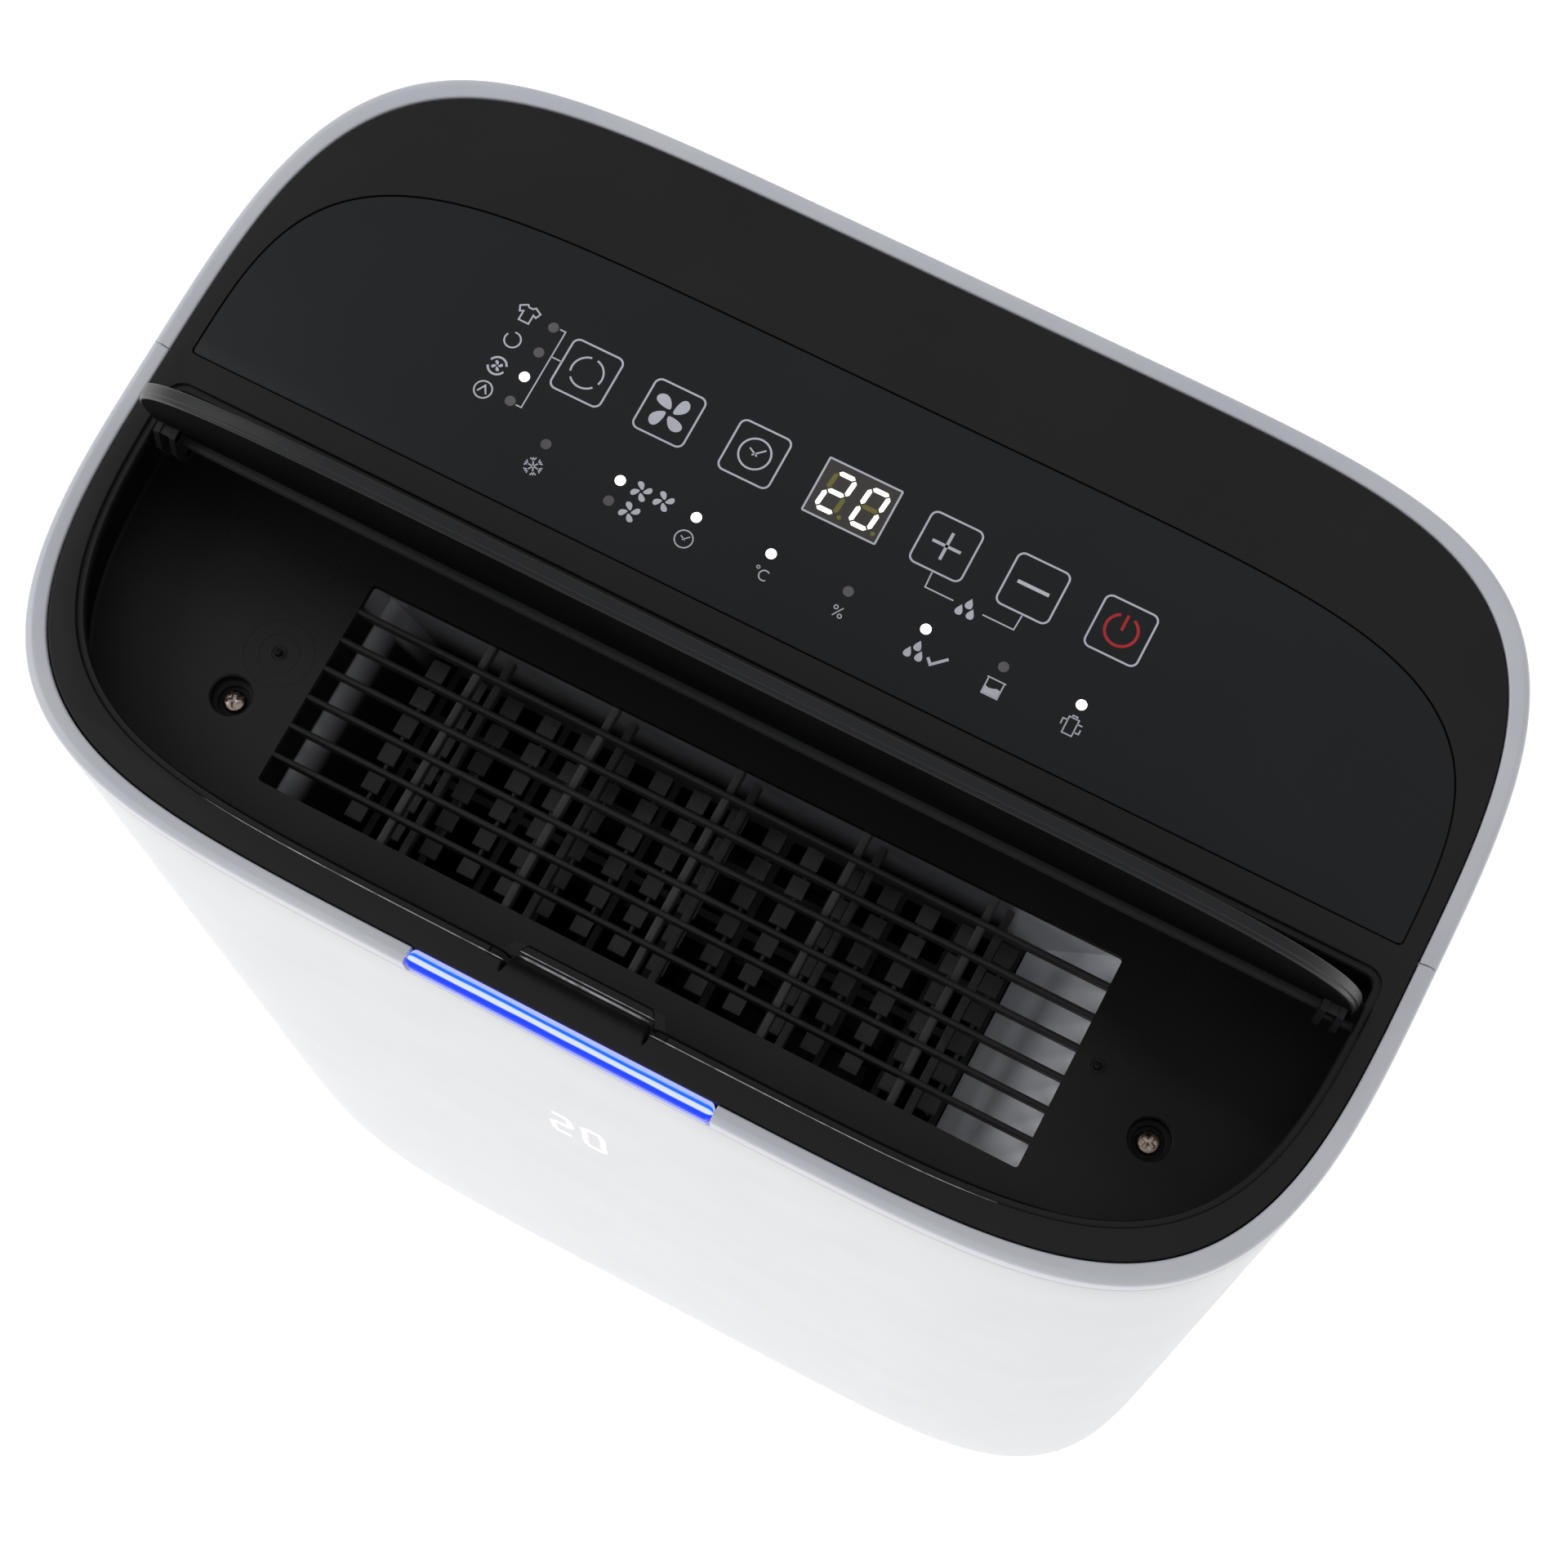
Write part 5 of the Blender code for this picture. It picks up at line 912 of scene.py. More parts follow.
addPiece("outlet_grille", grilleBars(), barBlack)
addPiece("grille_ribs", grilleRibs(), vaneGrey)
addPiece("outlet_vanes", outletVanes(), vaneGrey)
print("recess and grille made")


def screwHead(x, y, turnBy):
    # a low dome with a cross recess: z = dome - deep * cross, where the cross is two soft-edged bars
    radius, top = screwSet["head"], traySet["floorZ"] - screwSet["wellDeep"] + 0.0003 + 0.0020
    rings = np.concatenate([[0.00004], np.linspace(0.0001, radius * 0.93, 40)])
    angle = np.linspace(0, 2 * math.pi, 144, endpoint=False)
    r, a = rings[:, None], angle[None] - math.radians(turnBy)
    u, v = r * np.cos(a), r * np.sin(a)

    def soft(value, limit, fade):
        return np.clip((limit - np.abs(value)) / fade + 0.5, 0, 1)

    half, reach = screwSet["crossHalf"], screwSet["crossReach"]
    taper, taperAt = screwSet["crossTaper"], screwSet["taperAt"]
    alongU = soft(v, half * (1 - taper * np.abs(u) / taperAt), 0.0002) * soft(u, reach, 0.0003)
    alongV = soft(u, half * (1 - taper * np.abs(v) / taperAt), 0.0002) * soft(v, reach, 0.0003)
    cross = np.maximum(alongU, alongV)
    z = top - screwSet["dome"] * (r / radius) ** 2 - screwSet["crossDeep"] * cross * (1 - taper * r / taperAt)
    head = np.stack([r * np.cos(angle[None]), r * np.sin(angle[None]), z], axis=-1)
    sideR = [radius, radius, 0.0016, 0.0016, 0.00004]
    sideZ = [top - 0.0009, top - 0.0019, top - 0.0020, top - 0.0060, top - 0.0060]
    side = np.stack([np.outer(sideR, np.cos(angle)), np.outer(sideR, np.sin(angle)),
                     np.broadcast_to(np.array(sideZ)[:, None], (5, len(angle)))], axis=-1)
    return solidGrid(np.concatenate([head, side]) + np.array([x, y, 0]))


for side, (x, y) in screwSet["places"].items():
    addPiece("screw_" + side, [screwHead(x, y, screwSet["turn"][side])], screwNickel,
             stands=["outlet_screw_" + side], angle=40)
print("screws made")


flapSet = {"thick": 0.0038, "sideGap": 0.0008, "frontGap": 0.0012, "rearGap": 0.0022, "round": 0.0004,
           "underRound": 0.0007, "stepIn": 0.0004, "stepDown": 0.0024,
           "arms": (0.1542, 0.1602), "ribs": (0.0158, 0.0110), "ribHigh": 0.0021, "ribWide": 0.0012,
           "shadeSheetIn": 0.0011, "armThick": 0.0016, "pinRadius": 0.0015, "pinEnd": 0.1691, "topDrop": 0.0002,
           "corner": 0.0015, "armShape": [[-0.013, 0.0030], [-0.013, -0.0005], [-0.006, -0.0032],
                                          [0.0, -0.0033],
                                          [0.0023, -0.0023], [0.0033, 0.0], [0.0030, 0.0026]]}


def tiltFlap(solids):
    # shut to open: y' = y cos a + z sin a, z' = z cos a - y sin a, about the hinge line
    c, s = math.cos(openAngle), math.sin(openAngle)
    out = []
    for flat, faces in solids:
        y, z = flat[:, 1] - hingeY, flat[:, 2] - hingeZ
        out.append((np.column_stack([flat[:, 0], hingeY + y * c + z * s, hingeZ + z * c - y * s]), faces))
    return out


def flapLoop():
    # the opening's outline with a gap all round
    return openingLoop(openingSet["halfX"] - flapSet["sideGap"], openingSet["halfY"] - flapSet["frontGap"],
                       openingSet["rearY"] - flapSet["rearGap"], cornerRadius=flapSet["corner"])


def flapSolids():
    # the shut flap: a plate with a rounded, stepped edge, ribs below it, and arms with pins on the hinge line
    top = deckZ - flapSet["topDrop"]
    under = top - flapSet["thick"]
    rearY = openingSet["rearY"] - flapSet["rearGap"]
    loop = flapLoop()
    r, low, stepIn = flapSet["round"], flapSet["underRound"], flapSet["stepIn"]
    stepZ = top - flapSet["stepDown"]
    arc = np.linspace(0, math.pi / 2, 6)
    loops = [offsetLoop(loop, -stepIn - low * (1 - math.sin(a))) for a in arc]
    loops += [offsetLoop(loop, -stepIn), loop]
    heights = [under + low * (1 - math.cos(a)) for a in arc] + [stepZ - 0.0003, stepZ]
    loops += [offsetLoop(loop, -r * (1 - math.cos(a))) for a in arc]
    heights += [top - r + r * math.sin(a) for a in arc]
    solids = [loftLoops(loops, heights)]
    inner, outer = flapSet["arms"]
    for back in flapSet["ribs"]:
        y = rearY - back
        solids.append(blockGrid((-inner, y, under - flapSet["ribHigh"]),
                                (inner, y + flapSet["ribWide"], under + 0.0005), 0.0004))
    for side in (-1, 1):
        for k in (inner, outer - flapSet["armThick"]):
            near, far = sorted((side * k, side * (k + flapSet["armThick"])))
            armTop = under - hingeZ + 0.001
            arm = np.array(flapSet["armShape"] + [[0.0030, armTop], [-0.012, armTop]])
            rows = np.array([np.column_stack([np.full(len(arm), x), arm[:, 0] + hingeY, arm[:, 1] + hingeZ])
                             for x in (near, far)])
            solids.append(solidGrid(rows))
        web = sorted((side * inner, side * outer))
        solids.append(blockGrid((web[0], hingeY - 0.0125, hingeZ - 0.0004),
                                (web[1], hingeY - 0.0105, under + 0.0008), 0.0004))
        turn = np.linspace(0, 2 * math.pi, 24, endpoint=False)
        radius = flapSet["pinRadius"]
        circle = np.column_stack([hingeY + radius * np.cos(turn), hingeZ + radius * np.sin(turn)])
        rows = np.array([np.column_stack([np.full(24, x), circle])
                         for x in (side * inner, side * flapSet["pinEnd"])])
        solids.append(solidGrid(rows))
    return solids


def flapShadeSheet():
    # a flat black sheet over the underside, just inside the rounded edge: painted shade that darkens the open
    # flap's underside
    under = deckZ - flapSet["topDrop"] - flapSet["thick"]
    inner = offsetLoop(flapLoop(), -flapSet["shadeSheetIn"])
    return loftLoops([inner, inner], [under - 0.00004, under + 0.0004])


addPiece("flap", tiltFlap(flapSolids()), flapBlack, "flap", ["outlet_flap"])
addPiece("flap_shade_sheet", tiltFlap([flapShadeSheet()]), shadeBlack, "flap")
print("flap made")


def panelSolid():
    # upright side, then a small quarter circle up to the flat top
    r = panelSet["edge"]
    arc = np.linspace(0, math.pi / 2, 4)
    base = panelLoop()
    loops = [base] + [offsetLoop(base, -r * (1 - math.cos(a))) for a in arc]
    heights = [panelSet["topZ"] - panelSet["thick"]] + [panelSet["topZ"] - r + r * math.sin(a) for a in arc]
    return loftLoops(loops, heights)


addPiece("touch_panel", [panelSolid()], panelSmoke, stands=["control_panel"])

inkLow, inkHigh = panelSet["topZ"] - 0.0002, panelSet["topZ"] + 0.00005


def ribbon(points, width, closed=False, lowZ=inkLow, highZ=inkHigh):
    # a flat line of even width through (x, y) points in millimetres, mitred at its corners
    path = np.array(points, float) * mm
    ahead = np.roll(path, -1, axis=0) - path
    behind = np.roll(ahead, 1, axis=0)
    if not closed:
        ahead[-1], behind[0] = behind[-1], ahead[0]
    ahead /= np.linalg.norm(ahead, axis=1)[:, None]
    behind /= np.linalg.norm(behind, axis=1)[:, None]
    bisect = ahead + behind
    bisect /= np.linalg.norm(bisect, axis=1)[:, None]
    normal = np.column_stack([-bisect[:, 1], bisect[:, 0]])
    reach = width * mm / 2 / np.clip(np.einsum("ij,ij->i", bisect, ahead), 0.5, 1)
    left, right = path + normal * reach[:, None], path - normal * reach[:, None]
    rows = np.stack([np.insert(left, 2, highZ, axis=1), np.insert(right, 2, highZ, axis=1),
                     np.insert(right, 2, lowZ, axis=1), np.insert(left, 2, lowZ, axis=1)], axis=1)
    return solidGrid(rows, ring=closed)


def patch(points, lowZ=inkLow, highZ=inkHigh):
    # a filled outline in millimetres
    loop = np.array(points, float) * mm
    return loftLoops([loop, loop], [lowZ, highZ])


def arcPoints(x, y, radius, first=0.0, last=360.0, count=32):
    # x = cx + r cos t, y = cy + r sin t between two angles in degrees
    angle = np.radians(np.linspace(first, last, count, endpoint=last - first < 360))
    return np.column_stack([x + radius * np.cos(angle), y + radius * np.sin(angle)])


def spun(points, x, y, degrees, size=1.0):
    # turned about its own middle, scaled and put in place
    c, s = math.cos(math.radians(degrees)), math.sin(math.radians(degrees))
    points = np.array(points, float) * size
    return np.column_stack([x + points[:, 0] * c - points[:, 1] * s, y + points[:, 0] * s + points[:, 1] * c])


def fanIcon(x, y, radius, turnBy=45.0):
    # four swept blades: x = r (0.58 + 0.42 cos t), y = r (0.36 sin t + 0.16 x)
    t = np.linspace(0, 2 * math.pi, 26, endpoint=False)
    px = 0.57 + 0.42 * np.cos(t)
    py = 0.37 * np.sin(t) * (0.35 + 0.65 * px) + 0.22 * (px - 0.5)
    blade = np.column_stack([px, py])
    return [patch(spun(blade, x, y, turnBy + 90 * k, radius)) for k in range(4)]


def dropIcon(x, y, size):
    # a teardrop: x = sin t * sin(t / 2) ^ 1.5, y = cos t
    t = np.linspace(0, 2 * math.pi, 28, endpoint=False) + 0.01
    shape = np.column_stack([0.86 * np.sin(t) * np.abs(np.sin(t / 2)) ** 1.5, 0.9 * np.cos(t)])
    return patch(spun(shape, x, y, 0, size))


def clockIcon(x, y, radius, line):
    # a ring with two hands
    hands = []
    for angle, length in ((43, 0.73), (152, 0.51)):
        way = np.array([math.cos(math.radians(angle)), math.sin(math.radians(angle))])
        centre = np.array([x, y])
        hands.append(ribbon([centre - way * radius * 0.2, centre + way * radius * length], line * 0.8))
    return [ribbon(arcPoints(x, y, radius, count=48), line, True)] + hands


def brokenRing(x, y, radius, line, starts=(100, 220, 340), reach=98):
    # arcs of one circle with gaps between them
    return [ribbon(arcPoints(x, y, radius, first, first + reach, 18), line) for first in starts]


keySet = {"y": 42.2, "size": (14.0, 14.5), "corner": 1.8, "line": 0.5,
          "places": (-74.7, -51.4, -27.5, 25.4, 49.0, 72.7)}


def keySymbols():
    # the six framed keys and what they show
    ink = []
    y = keySet["y"]
    for x in keySet["places"]:
        ink.append(ribbon(roundedLoop((x, y), keySet["size"], keySet["corner"], 7), keySet["line"], True))
    ink += brokenRing(-74.7, y, 4.2, 0.5)
    ink += fanIcon(-51.4, y, 5.6)
    ink += clockIcon(-27.5, y, 4.1, 0.5)
    ink += [ribbon([(25.4 - 3.85, y), (25.4 + 3.85, y)], 0.8),
            ribbon([(25.4, y - 3.85), (25.4, y + 3.85)], 0.8)]
    ink.append(ribbon([(49.0 - 4.25, y), (49.0 + 4.25, y)], 0.95))
    return ink


def leftColumn():
    # the four mode symbols and their bracket
    ink = []
    shirt = [(-1.1, 2.3), (-2.9, 1.3), (-2.3, -0.1), (-1.4, 0.3), (-1.4, -2.3), (1.4, -2.3), (1.4, 0.3),
             (2.3, -0.1), (2.9, 1.3), (1.1, 2.3), (0.55, 1.75), (-0.55, 1.75)]
    ink.append(ribbon(spun(shirt, -95.5, 49.5, 0), 0.42, True))
    ink.append(ribbon(arcPoints(-95.5, 41.6, 2.1, 150, 460, 32), 0.42))
    ink += brokenRing(-95.5, 33.7, 2.35, 0.55, (20, 200), 140) + fanIcon(-95.5, 33.7, 1.5, 26)
    ink.append(ribbon(arcPoints(-95.5, 26.5, 2.3), 0.42, True))
    ink.append(ribbon([(-96.7, 25.6), (-95.5, 27.7), (-94.3, 25.6)], 0.42))
    ink.append(ribbon([(-86.3, 49.5), (-84.7, 49.5), (-84.7, 26.6), (-86.3, 26.6)], 0.35))
    ink.append(ribbon([(-84.6, 42.0), (-81.8, 42.0)], 0.35))
    return ink


def lowerRow():
    # the symbols below the keys, from left to right
    ink = []
    for angle in (56, 116, 176):
        arm = [(-2.4, 0), (2.4, 0)]
        ink.append(ribbon(spun(arm, -74.5, 14.2, angle), 0.34))
        for flip in (0, 180):
            tip = [(2.3, 0.75), (1.5, 0), (2.3, -0.75)]
            ink.append(ribbon(spun(tip, -74.5, 14.2, angle + flip), 0.3))
    for x, y in ((-47.6, 20.6), (-41.5, 20.8), (-47.7, 14.5)):
        ink += fanIcon(x, y, 2.75, 26)
    ink += clockIcon(-32.5, 14.4, 2.3, 0.34)
    ink.append(ribbon(arcPoints(-10.6, 15.0, 1.35, 50, 310, 18), 0.34))
    ink.append(ribbon(arcPoints(-12.9, 16.4, 0.4, count=12), 0.24, True))
    ink.append(ribbon([(8.7, 13.6), (10.5, 16.4)], 0.3))
    ink += [ribbon(arcPoints(8.7, 15.9, 0.5, count=14), 0.28, True),
            ribbon(arcPoints(10.5, 14.1, 0.5, count=14), 0.28, True)]
    ink += [dropIcon(30.9, 16.2, 1.6), dropIcon(29.3, 13.8, 1.6), dropIcon(32.3, 13.9, 1.6)]
    ink.append(ribbon([(34.3, 14.6), (35.6, 13.2), (39.0, 16.4)], 0.75))
    ink.append(ribbon([(49.6, 16.8), (49.6, 12.6), (53.8, 12.6), (53.8, 16.8)], 0.34))
    ink.append(ribbon([(49.2, 17.0), (54.2, 17.0)], 0.34))
    level = [(49.8, 12.7), (53.7, 12.7), (53.7, 14.8), (52.7, 15.0), (51.7, 14.6), (50.7, 14.4), (49.8, 14.7)]
    ink.append(patch(level))
    engine = [(-1.3, 2.2), (-1.3, -2.2), (1.3, -2.2), (1.3, 2.2)]
    ink.append(ribbon(spun(engine, 72.5, 14.7, 0), 0.34, True))
    for points in ([(-1.3, 1.2), (-2.5, 1.2), (-2.5, -0.4)], [(1.3, 1.2), (2.6, 1.2)],
                   [(1.3, -1.0), (2.6, -1.0), (2.6, 0.2)],
                   [(-0.6, 2.2), (-0.6, 2.8), (0.6, 2.8), (0.6, 2.2)]):
        ink.append(ribbon(spun(points, 72.5, 14.7, 0), 0.34))
    ink += [dropIcon(37.1, 31.5, 1.6), dropIcon(35.5, 29.1, 1.6), dropIcon(38.5, 29.2, 1.6)]
    ink.append(ribbon([(25.3, 34.6), (25.5, 30.4), (33.2, 30.4)], 0.35))
    ink.append(ribbon([(49.7, 34.6), (49.5, 30.4), (41.1, 30.4)], 0.35))
    return ink


addPiece("panel_symbols", keySymbols() + leftColumn() + lowerRow(), inkGrey)
power = [ribbon(arcPoints(72.7, 42.2, 4.1, 116, 424, 40), 0.75), ribbon([(72.7, 42.2), (72.7, 46.5)], 0.75)]
addPiece("power_symbol", power, inkRed)

lampSet = {"radius": 1.37,
           "lit": [(-88, 34.2), (-53.6, 20.8), (-32.4, 20.8), (-11.7, 20.8), (30.6, 20.8), (72.5, 20.8)],
           "off": [(-88, 49.2), (-88, 41.6), (-88, 26.9), (-74.5, 20.8), (-53.6, 14.8), (9.5, 20.8),
                   (51.6, 20.8)]}
for word, finish in (("lit", lampLit), ("off", lampOff)):
    addPiece("lamps_" + word,
             [patch(arcPoints(x, y, lampSet["radius"], count=28)) for x, y in lampSet[word]], finish)

windowSet = {"centre": (-0.5, 42.3), "size": (20.0, 15.4), "line": 0.5}
windowLoop = roundedLoop(windowSet["centre"], windowSet["size"], 0.25, 3)
addPiece("window_frame", [ribbon(windowLoop, windowSet["line"], True)], inkGrey)
addPiece("window_pane", [patch(roundedLoop(windowSet["centre"], (19.6, 15.0), 0.2, 3), inkLow,
                               panelSet["topZ"] + 0.00002)],
         windowDark)

segmentSet = {"width": 6.3, "height": 11.6, "line": 1.25, "slant": 0.10, "gap": 0.30}


def segmentLoops(cx, cy, scaleX=1.0, scaleY=1.0):
    # the seven bars of a digit, a to g, each a hexagon, leaning to the right
    w, h = segmentSet["width"] / 2 - segmentSet["line"] / 2, segmentSet["height"] / 2 - segmentSet["line"] / 2
    t, g = segmentSet["line"] / 2, segmentSet["gap"]
    flat = [(-w + g, 0), (-w + g + t, t), (w - g - t, t), (w - g, 0), (w - g - t, -t), (-w + g + t, -t)]
    tall = [(0, g), (t, g + t), (t, h - g - t), (0, h - g), (-t, h - g - t), (-t, g + t)]
    spots = {"a": (flat, 0, h), "b": (tall, w, 0), "c": (tall, w, -h), "d": (flat, 0, -h),
             "e": (tall, -w, -h), "f": (tall, -w, 0), "g": (flat, 0, 0)}
    loops = {}
    for name, (shape, dx, dy) in spots.items():
        points = np.array(shape) + np.array([dx, dy])
        points[:, 0] += points[:, 1] * segmentSet["slant"]
        loops[name] = points * np.array([scaleX, scaleY]) + np.array([cx, cy])
    return loops


digits = [(-5.0, "abged"), (4.3, "abcdef")]
litBars, offBars = [], []
for x, lit in digits:
    for name, loop in segmentLoops(x, 42.2).items():
        (litBars if name in lit else offBars).append(patch(loop, inkLow, panelSet["topZ"] + 0.00006))
    offBars.append(patch(arcPoints(x + 3.6, 42.2 - 5.4, 0.6, count=20), inkLow, panelSet["topZ"] + 0.00006))
addPiece("digits_lit", litBars, segmentLit)
addPiece("digits_off", offBars, segmentOff)
print("control panel made")


frontGlowSet = {"centre": (-0.0045, 0.3835), "scale": (1.10, 2.55), "spread": (0.0006, 0.0015),
                "pitch": 0.0100,
                "shrink": (0.00045, 0.0009), "half": (0.0125, 0.020), "steps": (101, 161), "lift": 0.00003}


def glowPatch():
    # a thin skin on the case whose attribute falls off with the distance from each lit bar
    cx, cz = frontGlowSet["centre"]
    (halfX, halfZ), (stepsX, stepsZ) = frontGlowSet["half"], frontGlowSet["steps"]
    x = np.linspace(cx - halfX, cx + halfX, stepsX)
    z = np.linspace(cz - halfZ, cz + halfZ, stepsZ)
    gridX, gridZ = np.meshgrid(x, z)
    glow = np.zeros(gridX.shape)
    sx, sz = frontGlowSet["scale"]
    shrink, spread = np.array(frontGlowSet["shrink"]), frontGlowSet["spread"]
    for k, (_, lit) in enumerate(digits):
        middle = cx / mm + (k - 0.5) * frontGlowSet["pitch"] / mm
        loops = segmentLoops(middle, cz / mm, sx, sz)
        for name in lit:
            lowCorner, highCorner = loops[name].min(0) * mm, loops[name].max(0) * mm
            lowCorner, highCorner = lowCorner + shrink, highCorner - shrink
            dx = np.clip(np.maximum(lowCorner[0] - gridX, gridX - highCorner[0]), 0, None)
            dz = np.clip(np.maximum(lowCorner[1] - gridZ, gridZ - highCorner[1]), 0, None)
            glow = np.maximum(glow, np.exp(-(2 * dx / spread[0]) ** 2 - (2 * dz / spread[1]) ** 2))
    y = -outlineY(gridX, halfWidth, halfDepth, outlineShape["frontPower"])
    outer = np.stack([gridX, y - frontGlowSet["lift"], gridZ], axis=-1)
    inner = np.stack([gridX, y + 0.0002, gridZ], axis=-1)
    loop = np.concatenate([outer, inner[:, ::-1]], axis=1)
    paint = Paint("glow_skin", Roughness=0.35, Emission_Strength=1.0)
    amount = paint.node("ShaderNodeAttribute", {"attribute_name": "glow"}, output=2)
    soft = paint.noise(400.0, 2.0)
    colour = paint.blend(soft, (0.93, 0.95, 1.0), (0.86, 0.90, 1.0))
    finish = paint.set(Base_Color=colour, Emission_Color=colour, Alpha=amount * 0.9)
    skin = addPiece("front_glow", [solidGrid(loop)], finish)
    values = np.concatenate([glow, glow[:, ::-1]], axis=1).ravel().astype(np.float32)
    layer = skin.data.attributes.new("glow", "FLOAT", "POINT")
    layer.data.foreach_set("value", values)


glowPatch()
print("front glow made")


filterSet = {"border": 0.008, "slats": 17, "ribs": 3, "slatWide": 0.0052, "slatThick": 0.0014, "tilt": 32.0}


def rectFrame(lowX, highX, lowZ, highZ, border, nearY, farY, radius=0.006):
    # a picture frame: its rounded section goes round a rounded rectangle
    loop = roundedLoop(((lowX + highX) / 2, (lowZ + highZ) / 2),
                       (highX - lowX - border, highZ - lowZ - border), radius, 6)
    section = roundedLoop((0, (nearY + farY) / 2), (border, farY - nearY), 0.0008, 4)
    along = np.roll(loop, -1, axis=0) - np.roll(loop, 1, axis=0)
    normal = np.column_stack([along[:, 1], -along[:, 0]])
    normal /= np.linalg.norm(normal, axis=1)[:, None]
    flat = loop[:, None] + normal[:, None] * section[None, :, :1]
    y = np.broadcast_to(section[:, 1], flat.shape[:2])
    return solidGrid(np.stack([flat[..., 0], y, flat[..., 1]], axis=-1), ring=True)


def filterSolids():
    # frame, tilted slats, upright ribs and a finger tab
    nearY, farY = intakeLow[1], intakeHigh[1]
    border = filterSet["border"]
    solids = [rectFrame(intakeLow[0], intakeHigh[0], intakeLow[2], intakeHigh[2], border, nearY, farY)]
    c, s = math.cos(math.radians(filterSet["tilt"])), math.sin(math.radians(filterSet["tilt"]))
    middleY = (nearY + farY) / 2
    section = roundedLoop((0, 0), (filterSet["slatWide"], filterSet["slatThick"]), 0.0006, 4)
    turned = np.column_stack([section[:, 0] * c - section[:, 1] * s, section[:, 0] * s + section[:, 1] * c])
    for z in np.linspace(intakeLow[2] + border + 0.003, intakeHigh[2] - border - 0.003, filterSet["slats"]):
        rows = [np.column_stack([np.full(len(turned), x), middleY + turned[:, 0], z + turned[:, 1]])
                for x in (intakeLow[0] + border - 0.001, intakeHigh[0] - border + 0.001)]
        solids.append(solidGrid(np.array(rows)))
    for k in range(1, filterSet["ribs"] + 1):
        x = intakeLow[0] + (intakeHigh[0] - intakeLow[0]) * k / (filterSet["ribs"] + 1)
        solids.append(blockGrid((x - 0.0015, nearY, intakeLow[2] + border - 0.001),
                                (x + 0.0015, nearY + 0.003, intakeHigh[2] - border + 0.001), 0.0005, 2))
    tab = blockGrid((-0.016, farY - 0.001, intakeHigh[2] - 0.0068),
                    (0.016, farY + 0.0010, intakeHigh[2] - 0.0022), 0.0005)
    return solids + [tab]


addPiece("filter_louvre", filterSolids(), whiteCase, "filter", ["filter_frame"])


def bodyPlug(inset, lowZ, highZ):
    # the case's own outline filled in, with its tuck
    z = np.linspace(lowZ, highZ, 26)
    loops = [np.column_stack(outlineAt(fullTurn, halfWidth - inset, halfDepth - inset - tuckAt(h)))
             for h in z]
    return loftLoops(loops, z)


tankSet = {"wall": 0.0022, "corner": 0.006, "grip": (0.045, 0.176, 0.202), "gripDepth": 0.014}
frontY = tankLow[1]


def tankMesh():
    # a box with its hollow and its grip as separate cutters
    wall = tankSet["wall"]
    shell = [yCutter(tankLow[0], tankHigh[0], tankLow[2], tankHigh[2], tankSet["corner"], frontY, 0.13)]
    hollow = yCutter(tankLow[0] + wall, tankHigh[0] - wall, tankLow[2] + wall, tankHigh[2] + 0.02,
                     tankSet["corner"] - wall, frontY + wall, halfDepth - tankSet["gripDepth"] - 2 * wall)
    gripX, gripLow, gripHigh = tankSet["grip"]
    gripY = halfDepth - tankSet["gripDepth"]
    loop = roundedLoop((0, (gripLow + gripHigh) / 2), (2 * gripX, gripHigh - gripLow), 0.008, 10)
    inner = offsetLoop(loop, -0.002)
    grip = standLoops([inner, loop, loop], [gripY, gripY + 0.004, 0.13])
    return shell, [[hollow], [grip]]


shell, tankCuts = tankMesh()
levelMarks = []
for k in range(5):
    z = tankLow[2] + 0.03 + 0.026 * k
    wide = 0.010 if k % 2 else 0.016
    levelMarks.append((0.105 - wide / 2, 0.105 + wide / 2, z))
markCuts = []
for lowX, highX, z in levelMarks:
    y = outlineY(np.array([lowX, highX]), halfWidth, halfDepth, outlineShape["backPower"]).max() - tuckAt(z)
    markCuts.append(yCutter(lowX, highX, z - 0.0006, z + 0.0006, 0.0005, y - 0.0008, 0.13))
addPiece("tank", shell, tankSmoke, "tank", ["water_tank"],
         cuts=tankCuts + [[cut] for cut in markCuts],
         keep=[bodyPlug(0.0, tankLow[2] - 0.004, tankHigh[2] + 0.004)])


def ports():
    # the drain plug and the cord gland, both turned about y
    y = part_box("drain_plug")[1][1]
    plug = [(0.0001, y), (0.0070, y), (0.0085, y - 0.0004), (0.0095, y - 0.0014), (0.0095, y - 0.0019),
            (0.0070, y - 0.0021),
            (0.0066, y - 0.006), (0.0070, y - 0.0065), (0.0066, y - 0.0100), (0.0069, y - 0.0105),
            (0.0060, y - 0.016), (0.0001, y - 0.016)]
    addPiece("drain_stopper", [turnedGrid(plug, (plugX, 0, portZ), 56, "y"),
                               blockGrid((plugX - 0.0055, y - 0.0004, portZ - 0.0009),
                                         (plugX + 0.0055, y - 0.00001, portZ + 0.0009), 0.0001)],
             rubberBlack, "plug", ["drain_plug"])
    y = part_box("cord_gland")[1][1]
    gland = [(0.0001, y), (0.0036, y), (0.0041, y - 0.0004), (0.0047, y - 0.0013), (0.0044, y - 0.0017),
             (0.0052, y - 0.0025), (0.0055, y - 0.0034), (0.0055, y - 0.015), (0.0001, y - 0.015)]
    addPiece("cord_boot", [turnedGrid(gland, (-plugX, 0, portZ), 48, "y")], rubberBlack,
             stands=["cord_gland"])


ports()

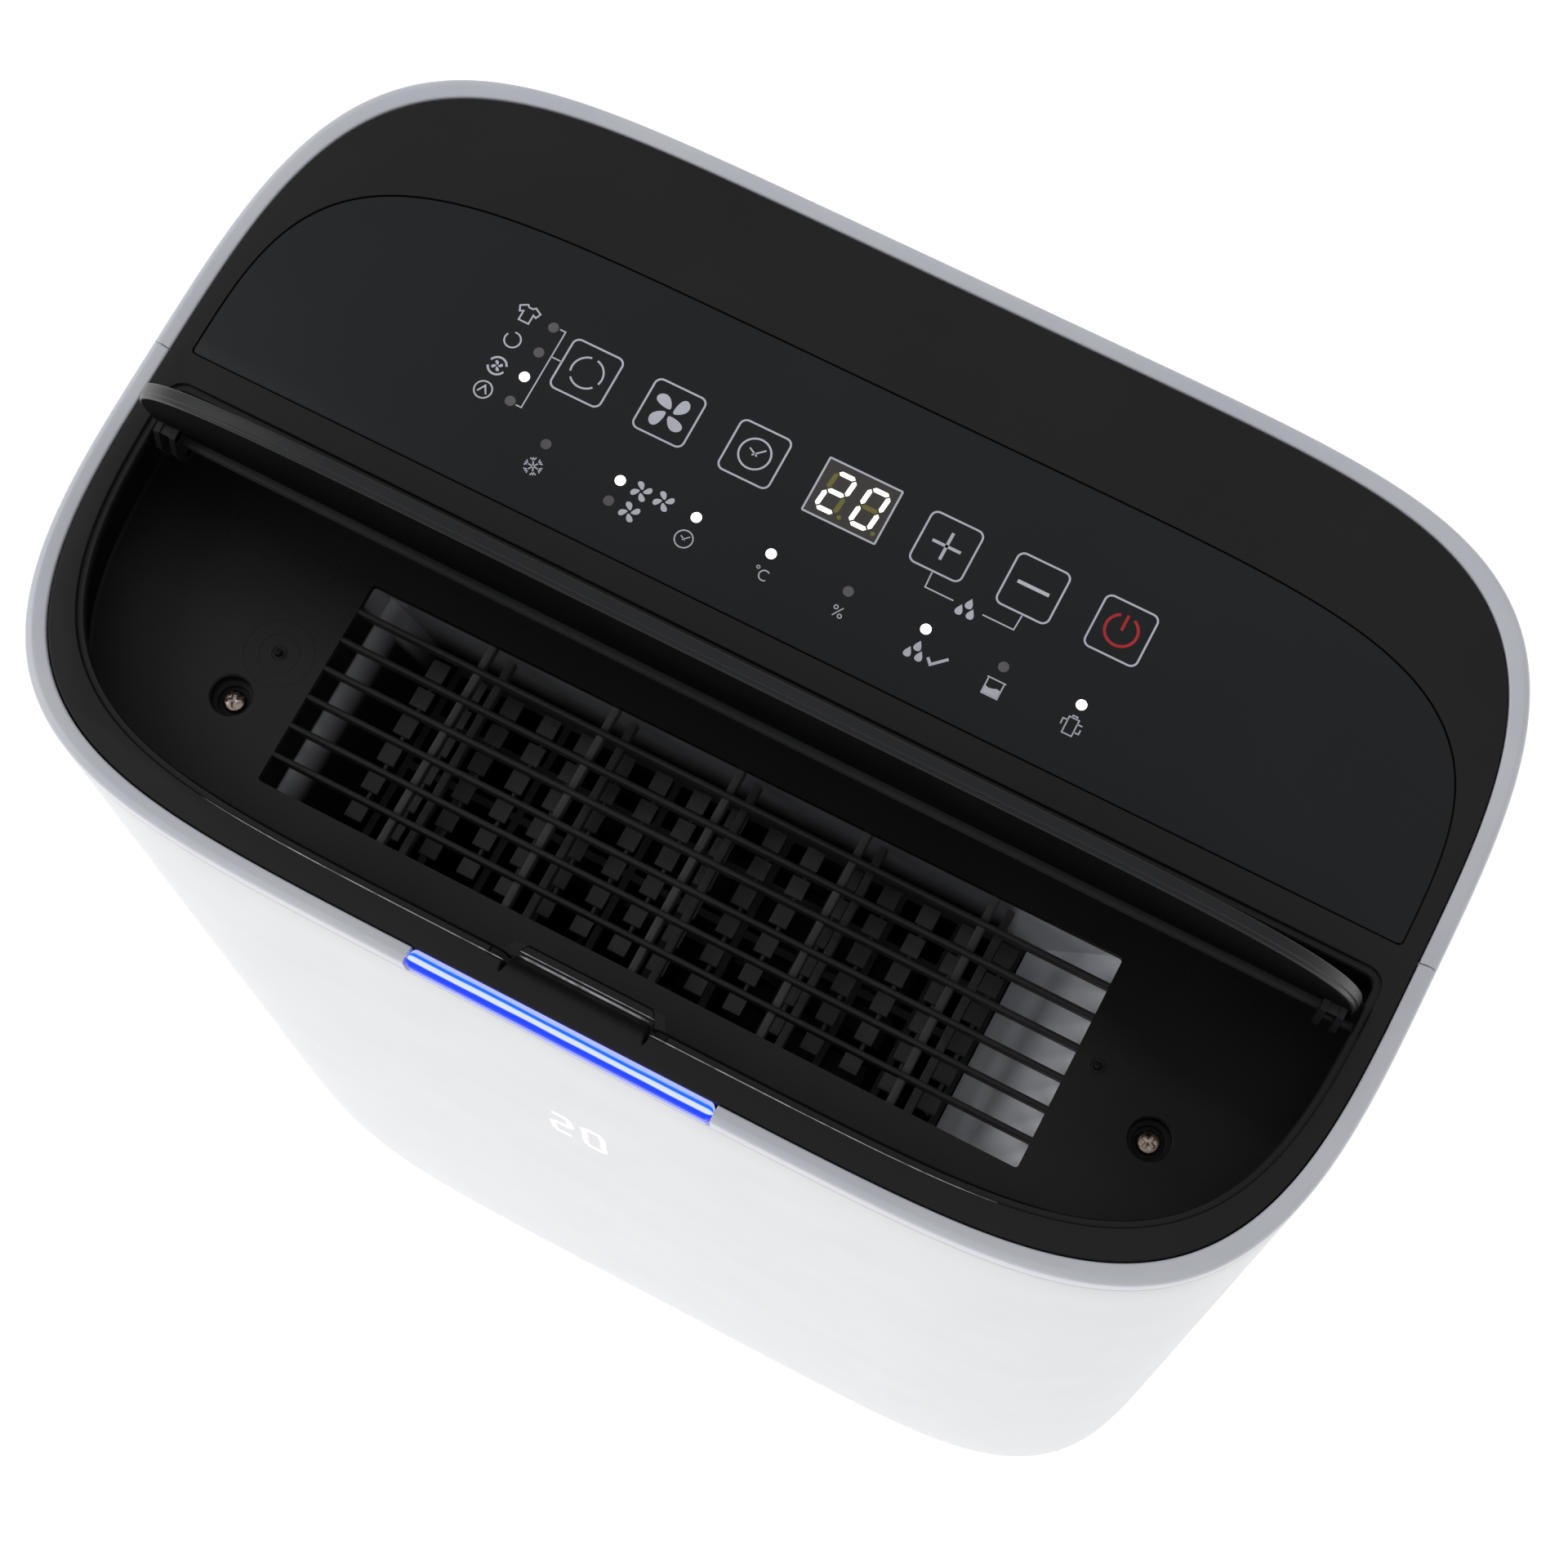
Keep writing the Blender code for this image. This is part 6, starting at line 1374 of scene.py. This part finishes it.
for node in ("foot_front_left", "foot_front_right", "foot_rear_left", "foot_rear_right"):
    footLow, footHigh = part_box(node)
    centre = ((footLow[0] + footHigh[0]) / 2, (footLow[1] + footHigh[1]) / 2, 0)
    foot = [(0.0001, 0.0006), (0.0080, 0.0006), (0.0084, 0.0), (0.0120, 0.0), (0.0130, 0.0006),
            (0.0138, 0.0040),
            (0.0140, 0.0070), (0.0136, 0.0077), (0.0040, 0.0077), (0.0040, 0.011), (0.0001, 0.011)]
    addPiece("pad_" + node[5:], [turnedGrid(foot, centre, 48)], rubberBlack, stands=[node])
print("rear and feet made")


nodeFinishes = {
    innerBlack: ["base_tray", "blower_housing", "blower_wheel", "duct_guard", "drip_tray", "tank_rail_left",
                 "tank_rail_right"],
    ductGreyShaded: ["outlet_duct"],
    capacitorGrey: ["run_capacitor"],
    galvanised: ["fan_motor", "chassis_shelf", "chassis_partition", "electrical_box", "electrical_cover"],
    copperTube: ["suction_pipe", "discharge_pipe", "liquid_pipe", "capillary_tube", "filter_drier"],
    rubberBlack: ["compressor_mount_1", "compressor_mount_2", "compressor_mount_3"],
    finPack: ["evaporator", "condenser"],
    enamelBlack: ["compressor"],
    boardGreen: ["control_board", "front_display_board"],
    segmentOff: ["display_module", "front_display_module"],
    screwNickel: ["motor_shaft"],
    floatFoam: ["tank_float"],
    netBlack: ["air_filter"],
    whiteCase: ["tank_lid", "float_bracket"]}
for finish, names in nodeFinishes.items():
    for name in names:
        data = frame["nodes"][name].data
        data.materials.clear()
        data.materials.append(finish)
print("inner finishes set")


stageSet = {"size": 6.0, "floor": tone(250, 250, 251), "floorGlow": 0.60, "world": 0.54}
floorMesh = bpy.data.meshes.new("floor")
half = stageSet["size"] / 2
floorMesh.from_pydata([(-half, -half, 0), (half, -half, 0), (half, half, 0), (-half, half, 0)], [],
                      [(0, 1, 2, 3)])
floor = bpy.data.objects.new("floor", floorMesh)
bpy.context.scene.collection.objects.link(floor)
floorPaint = Paint("floor_paper", Roughness=0.9, Emission_Strength=stageSet["floorGlow"])
paper = floorPaint.noise(3.0, 2.0)
paperColour = floorPaint.blend(paper, stageSet["floor"], (0.97, 0.97, 0.97))
floorMesh.materials.append(floorPaint.set(Base_Color=paperColour, Emission_Color=paperColour))

world = bpy.data.worlds.new("studio")
bpy.context.scene.world = world
world.use_nodes = True
sky = world.node_tree
background = sky.nodes["Background"]
background.inputs[0].default_value = (1, 1, 1, 1)
background.inputs[1].default_value = stageSet["world"]

lampsSet = {
    "key": {"place": (-1.5, -0.3, 1.5), "size": (1.2, 1.2), "power": 8.0},
    "fill": {"place": (1.6, -0.9, 1.0), "size": (1.2, 1.2), "power": 0.2}}
for name, setting in lampsSet.items():
    light = bpy.data.lights.new(name, "AREA")
    light.shape = "RECTANGLE"
    light.size, light.size_y = setting["size"]
    light.energy = setting["power"]
    lamp = bpy.data.objects.new(name, light)
    lamp.location = setting["place"]
    way = np.array([0, 0, 0.4]) - np.array(setting["place"])
    yaw = math.atan2(way[1], way[0])
    pitch = math.atan2(math.hypot(way[0], way[1]), -way[2])
    lamp.rotation_euler = Euler((pitch, 0, yaw - math.pi / 2))
    bpy.context.scene.collection.objects.link(lamp)

cameraSet = {"place": (0.1283, -0.2193, 1.2328), "turn": (16.8312, 0.7415, 27.6674), "lens": 72.80,
             "sensor": 36.0}
lensData = bpy.data.cameras.new("camera")
lensData.lens = cameraSet["lens"]
lensData.sensor_width = cameraSet["sensor"]
lensData.clip_start = 0.01
camera = bpy.data.objects.new("camera", lensData)
camera.location = cameraSet["place"]
camera.rotation_euler = Euler([math.radians(angle) for angle in cameraSet["turn"]])
bpy.context.scene.collection.objects.link(camera)
bpy.context.scene.camera = camera
bpy.context.scene.view_settings.view_transform = "Standard"
bpy.context.scene.view_settings.look = "None"
print("stage made")
